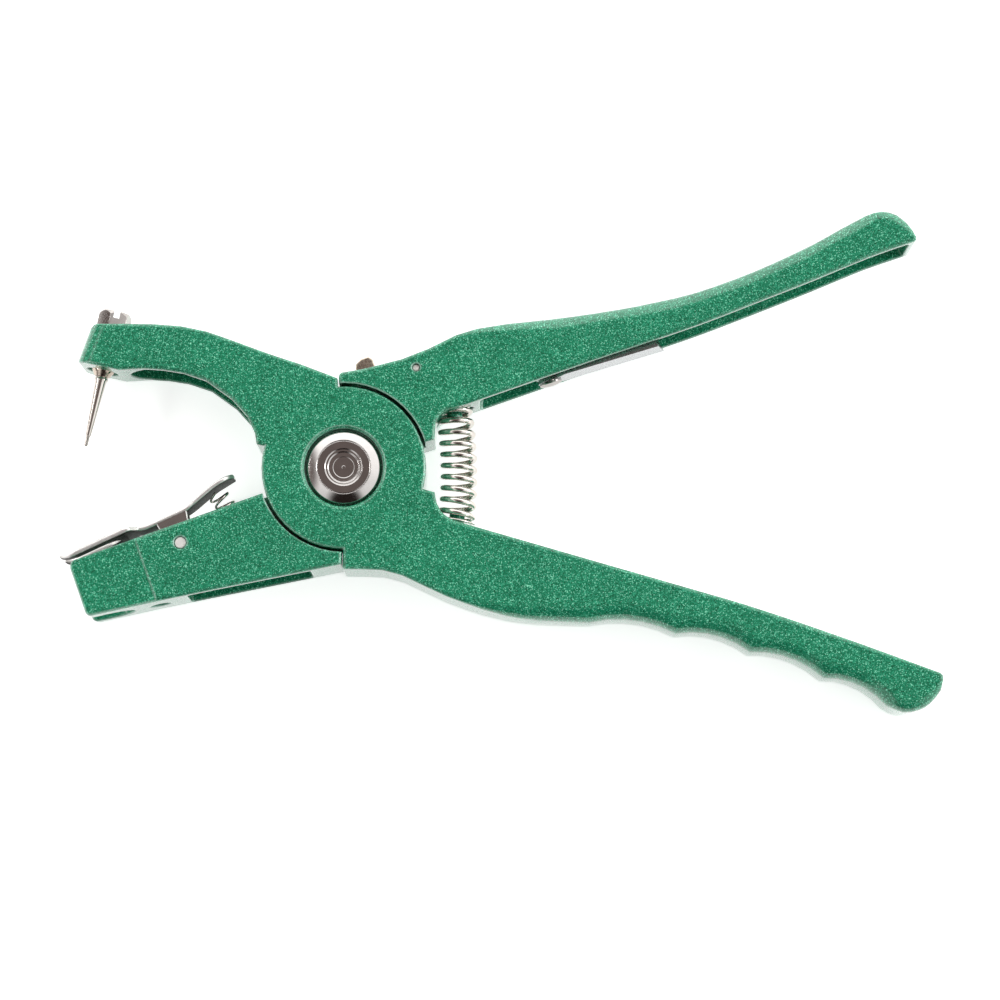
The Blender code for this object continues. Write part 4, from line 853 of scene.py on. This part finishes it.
# %% walk along the bent line
def stations_of(points):
    """Distance of each point from the start of a line."""
    run = [0.0]
    for a, b in zip(points, points[1:]):
        run.append(run[-1] + (b - a).length)
    return run


line_runs = stations_of(bent_line)


def on_line(distance):
    """Point and direction of the clip's middle line at a distance from its tip."""
    k = max(i for i, run in enumerate(line_runs[:-1]) if run <= distance + 1e-9)
    way = (bent_line[k + 1] - bent_line[k]).normalized()
    return bent_line[k] + way * (distance - line_runs[k]), way


def run_at(bend):
    """Distance from the tip at which the line passes one of its bends."""
    near = min(range(len(bent_line)), key=lambda i: (bent_line[i] - bends[bend]).length)
    return line_runs[near]


clip_end = line_runs[-1]
print("clip, tip to thumb end:", round(clip_end / MM, 1), "mm")

# %% width of the blank
FORK = 4.0 * MM
FORK_LENGTH = 13.0 * MM
FRONT = 9.5 * MM
TIP = 8.5 * MM
NECK = 5.4 * MM
THUMB = 6.0 * MM
THUMB_TURN = 5.0 * MM
THUMB_ROUND = 4.4 * MM
fork_end = run_at(RIBS_FROM) + FORK_LENGTH
# Distance from the tip, and half the blank's width there.
WIDTHS = [
    (0.0, TIP),
    (4.0 * MM, FRONT),
    (run_at(RIBS_TO) + 0.3 * MM, FRONT),
    (run_at(NECK_FROM) + 1.2 * MM, NECK),
    (run_at(ARM_FROM) + 1.2 * MM, NECK),
    (run_at(ARM_FROM) + 3.0 * MM, THUMB),
    (clip_end, THUMB),
]


def half_width(distance):
    """Half the blank's width, with the thumb end rounded off."""
    width = WIDTHS[-1][1]
    for (a, wide_a), (b, wide_b) in zip(WIDTHS, WIDTHS[1:]):
        if a <= distance <= b:
            t = (distance - a) / (b - a)
            width = wide_a + (wide_b - wide_a) * t * t * (3 - 2 * t)
            break
    past = distance - (clip_end - THUMB_ROUND)
    if past > 0:
        width -= THUMB_TURN - math.sqrt(THUMB_TURN**2 - past**2)
    return width


def half_fork(distance):
    """Half the width of the fork's slot, zero behind its round end."""
    into = distance - (fork_end - FORK)
    return FORK if into <= 0 else math.sqrt(max(0.0, FORK**2 - into**2))


print("fork, tip to its round end:", round(fork_end / MM, 1), "mm")

# %% grid along the line
# Every second row of the ribbed front is lifted, so its rows are half as far
# apart as its ribs. The tip and the part from the neck on have wider rows.
ROW = 0.5 * MM
RIB_ROW = 0.225 * MM
RIB_HEIGHT = 0.12 * MM
ARM_ROW = 0.6 * MM
COLUMNS = 5
tip_rows = int(run_at(RIBS_FROM) / ROW)
rows = [k * ROW for k in range(tip_rows + 1)]
while rows[-1] < run_at(RIBS_TO) - 1.0 * MM:
    rows.append(rows[-1] + RIB_ROW)
rib_rows = range(tip_rows + 2, len(rows) - 1)
rest = clip_end - rows[-1]
rest_rows = math.ceil(rest / ARM_ROW)
rows += [rows[-1] + rest * (k + 1) / rest_rows for k in range(rest_rows)]
clip_bm = bmesh.new()
for side in (1.0, -1.0):
    grid = bmesh.ops.create_grid(
        clip_bm, x_segments=len(rows) - 1, y_segments=COLUMNS, size=1.0
    )
    for vert in grid["verts"]:
        i = round((vert.co.x + 1) / 2 * (len(rows) - 1))
        j = (vert.co.y + 1) / 2
        place, way = on_line(rows[i])
        rib = RIB_HEIGHT * (i % 2) if i in rib_rows else 0.0
        place = place + Vector((-way.y, way.x)) * rib
        fork, wide = half_fork(rows[i]), half_width(rows[i])
        vert.co = (place.x, place.y, mid + side * (fork + (wide - fork) * j))
bmesh.ops.remove_doubles(clip_bm, verts=clip_bm.verts, dist=0.005 * MM)
print("rows along the clip:", len(rows))

# %% [markdown]
# Each ear is a flat face with a hole: its outline and a circle are bridged. The
# ears stand just inside the neck's edges and reach down past the cross pin.

# %% ears
SHEET = 1.3 * MM
EAR_ROUND = 3.0 * MM
EAR_HOLE = 1.8 * MM
# Corners where an ear leaves the neck, and its round end below the cross pin.
tip_corner = bends[EAR_FROM] + Vector((0.3, 0.2)) * MM
thumb_corner = bends[ARM_FROM] + Vector((0.1, 0.2)) * MM
slope = Vector((math.cos(JAW_SLOPE), math.sin(JAW_SLOPE)))
down = Vector((slope.y, -slope.x))
lobe = [
    clip_axis + (down * math.sin(a) - slope * math.cos(a)) * EAR_ROUND
    for a in (math.pi * k / 12 for k in range(13))
]
ear_outline = [thumb_corner, tip_corner] + lobe
for side in (1.0, -1.0):
    ear_z = mid + side * (NECK - SHEET / 2)
    verts = [clip_bm.verts.new((p.x, p.y, ear_z)) for p in ear_outline]
    loop = [clip_bm.edges.new((a, b)) for a, b in zip(verts, verts[1:] + verts[:1])]
    hole = bmesh.ops.create_circle(
        clip_bm,
        segments=24,
        radius=EAR_HOLE,
        matrix=Matrix.Translation((clip_axis.x, clip_axis.y, ear_z)),
    )["verts"]
    rim = list({e for v in hole for e in v.link_edges})
    bmesh.ops.bridge_loops(clip_bm, edges=loop + rim)
print("ears stand", round(2 * (NECK - SHEET / 2) / MM, 1), "mm apart")

# %% [markdown]
# The side of a face tells the clip's three finishes apart. The blank's faces are
# turned up and the ears' faces outward: that side is bright, the other is the
# inner side, painted dark as shade, and the cut rim between them is satin.

# %% the clip as sheet
BRIGHT, SHADED_INNER, RIM = 0, 1, 2
TUMBLED = 0.42 * MM


def is_ear(face):
    """An ear's faces are upright, across the tool's thickness."""
    return abs(face.normal.z) > 0.5


bmesh.ops.recalc_face_normals(clip_bm, faces=clip_bm.faces)
neck = min(
    (f for f in clip_bm.faces if not is_ear(f)),
    key=lambda f: (f.calc_center_median().to_2d() - bends[ON_NECK]).length,
)
if neck.normal.y < 0:
    bmesh.ops.reverse_faces(clip_bm, faces=clip_bm.faces)
clip_bm.normal_update()
inward = [
    f
    for f in clip_bm.faces
    if is_ear(f) and f.normal.z * (f.calc_center_median().z - mid) < 0
]
bmesh.ops.reverse_faces(clip_bm, faces=inward)
clip_mesh = shaded(clip_bm, "tag_clip", sharp_above=60.0)
tag_clip = finished(
    clip_mesh, "tag_clip", "clip", "clip_plate", bright_sheet
)
# The second slot holds the painted shade of the sheet's inner side.
tag_clip.data.materials.append(painted_shade_sheet)
tag_clip.data.materials.append(sheared_edge)
gauge = tag_clip.modifiers.new("Sheet", "SOLIDIFY")
gauge.thickness = SHEET
gauge.offset = 0.0
gauge.use_even_offset = True
gauge.material_offset = SHADED_INNER - BRIGHT
gauge.material_offset_rim = RIM - BRIGHT
tumbled = tag_clip.modifiers.new("Tumbled edges", "BEVEL")
tumbled.width = TUMBLED
tumbled.segments = 3
tumbled.limit_method = "ANGLE"
tumbled.angle_limit = math.radians(50)
tumbled.use_clamp_overlap = False
even_light(tag_clip)
print("clip faces before its modifiers:", len(tag_clip.data.polygons))

# %% [markdown]
# ## Table and studio light
#
# The tool lies on a white table under a bright dome. The dome is dim and warm
# above the camera, dim at the left, and darkest low behind the camera: that is
# what the polished flats and the bevel of the pivot mirror in the photograph.
# The camera sees the dome as plain white, and the table is lifted to white for
# the rays that look at it, but not for the light that it throws on the tool.

# %% table
TABLE_SIZE = 4.0
TABLE_DROP = 0.03 * MM
TABLE_LIFT = 0.66


def white_table():
    """Matt white paper, just under the tool's back faces."""
    mesh = bpy.data.meshes.new("White table")
    bm = bmesh.new()
    low = Matrix.Translation((0, 0, -TABLE_DROP))
    bmesh.ops.create_grid(bm, x_segments=1, y_segments=1, size=TABLE_SIZE, matrix=low)
    bm.to_mesh(mesh)
    bm.free()
    table = bpy.data.objects.new("White table", mesh)
    bpy.context.scene.collection.objects.link(table)
    mat, tree, shader, _ = new_finish(
        "White paper table",
        Base_Color=linear("#F6F6F6"),
        Roughness=0.8,
        Specular_IOR_Level=0.0,
        Emission_Color=(1, 1, 1, 1),
    )
    rays = add_node(tree, "ShaderNodeLightPath").outputs
    looked_at = rays["Is Camera Ray"]
    for kind in ("Is Glossy Ray", "Is Transmission Ray"):
        either = add_node(
            tree,
            "ShaderNodeMath",
            {"operation": "MAXIMUM"},
            input0=looked_at,
            input1=rays[kind],
        )
        looked_at = either.outputs[0]
    lift = add_node(
        tree, "ShaderNodeMath", {"operation": "MULTIPLY", 1: TABLE_LIFT}, input0=looked_at
    )
    tree.links.new(lift.outputs[0], shader.inputs["Emission Strength"])
    mesh.materials.append(mat)
    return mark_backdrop(table)


white_table()
print("table:", 2 * TABLE_SIZE, "m square")

# %% dome of soft light
BRIGHT_BACK = 2.2
BRIGHT_FRONT = 0.75
WHITE = (1, 1, 1, 1)
DIM = linear("#7B706D")
DEEP = linear("#2B2422")

world = bpy.data.worlds.new("Studio")
bpy.context.scene.world = world
world.use_nodes = True
sky = world.node_tree
sky.nodes.clear()
sky_way = add_node(sky, "ShaderNodeTexCoord").outputs["Generated"]


def patch(towards, outer, inner):
    """Share of a patch: one within an angle of a direction, zero beyond another."""
    aim = Vector(towards).normalized()
    near = add_node(
        sky,
        "ShaderNodeVectorMath",
        {"operation": "DOT_PRODUCT", 1: tuple(aim)},
        input0=sky_way,
    )
    return add_node(
        sky,
        "ShaderNodeMapRange",
        {
            "interpolation_type": "SMOOTHSTEP",
            "From Min": math.cos(math.radians(outer)),
            "From Max": math.cos(math.radians(inner)),
        },
        Value=near.outputs["Value"],
    ).outputs["Result"]


def in_either(first, second):
    """Share of two patches together."""
    larger = {"operation": "MAXIMUM"}
    return add_node(sky, "ShaderNodeMath", larger, input0=first, input1=second).outputs[0]


def glow(colour, **links):
    """Light of one colour."""
    settings = {"Strength": 1.0, "Color": colour}
    return add_node(sky, "ShaderNodeBackground", settings, **links).outputs[0]


def mixed(share, first, second):
    """The first light, and the second one where a share is one."""
    mix = add_node(sky, "ShaderNodeMixShader", Fac=share, input1=first, input2=second)
    return mix.outputs[0]


# Direction of each patch, and the angles in degrees where it ends and is full.
ceiling = patch((0.0, 0.05, 1.0), 38.0, 24.0)
left_corner = patch((-0.97, 0.05, 0.22), 44.0, 26.0)
behind_high = patch((0.0, -0.72, 0.69), 31.0, 15.0)
behind_low = patch((0.0, -0.94, 0.34), 38.0, 18.0)
power = add_node(
    sky,
    "ShaderNodeMapRange",
    {"From Min": -1.0, "From Max": 1.0, "To Min": BRIGHT_FRONT, "To Max": BRIGHT_BACK},
    Value=add_node(sky, "ShaderNodeSeparateXYZ", Vector=sky_way).outputs["Y"],
)
bright = glow(WHITE, Strength=power.outputs["Result"])
half_dim = mixed(in_either(ceiling, left_corner), bright, glow(DIM))
dome = mixed(in_either(behind_high, behind_low), half_dim, glow(DEEP))
from_camera = add_node(sky, "ShaderNodeLightPath").outputs["Is Camera Ray"]
add_node(sky, "ShaderNodeOutputWorld", Surface=mixed(from_camera, dome, glow(WHITE)))
print("dome:", BRIGHT_FRONT, "to", BRIGHT_BACK, "bright")

# %% [markdown]
# A long strip lamp and a small soft box stand beside the table. Their light is
# strong but narrow, so it lays thin bright lines on the rims, and the short
# highlight on the round tip of the lower handle.

# %% lamps beside the table
LAMP_AIM = Vector((0.04, 0.0, 0.0))
RADIANCE = 9.0


def soft_lamp(name, place, width, height):
    """Area lamp that faces the tool. Its power follows from how bright it looks."""
    data = bpy.data.lights.new(name, "AREA")
    data.shape = "RECTANGLE"
    data.size = width
    data.size_y = height
    data.energy = RADIANCE * math.pi * width * height
    lamp = bpy.data.objects.new(name, data)
    lamp.location = place
    aim = LAMP_AIM - lamp.location
    lamp.rotation_euler = aim.to_track_quat("-Z", "Y").to_euler()
    lamp.visible_camera = False
    bpy.context.scene.collection.objects.link(lamp)
    return lamp


soft_lamp("Left strip", (-1.15, 0.05, 0.62), 1.0, 0.13)
soft_lamp("Right soft box", (1.05, 0.12, 0.42), 0.35, 0.35)
print("studio ready")
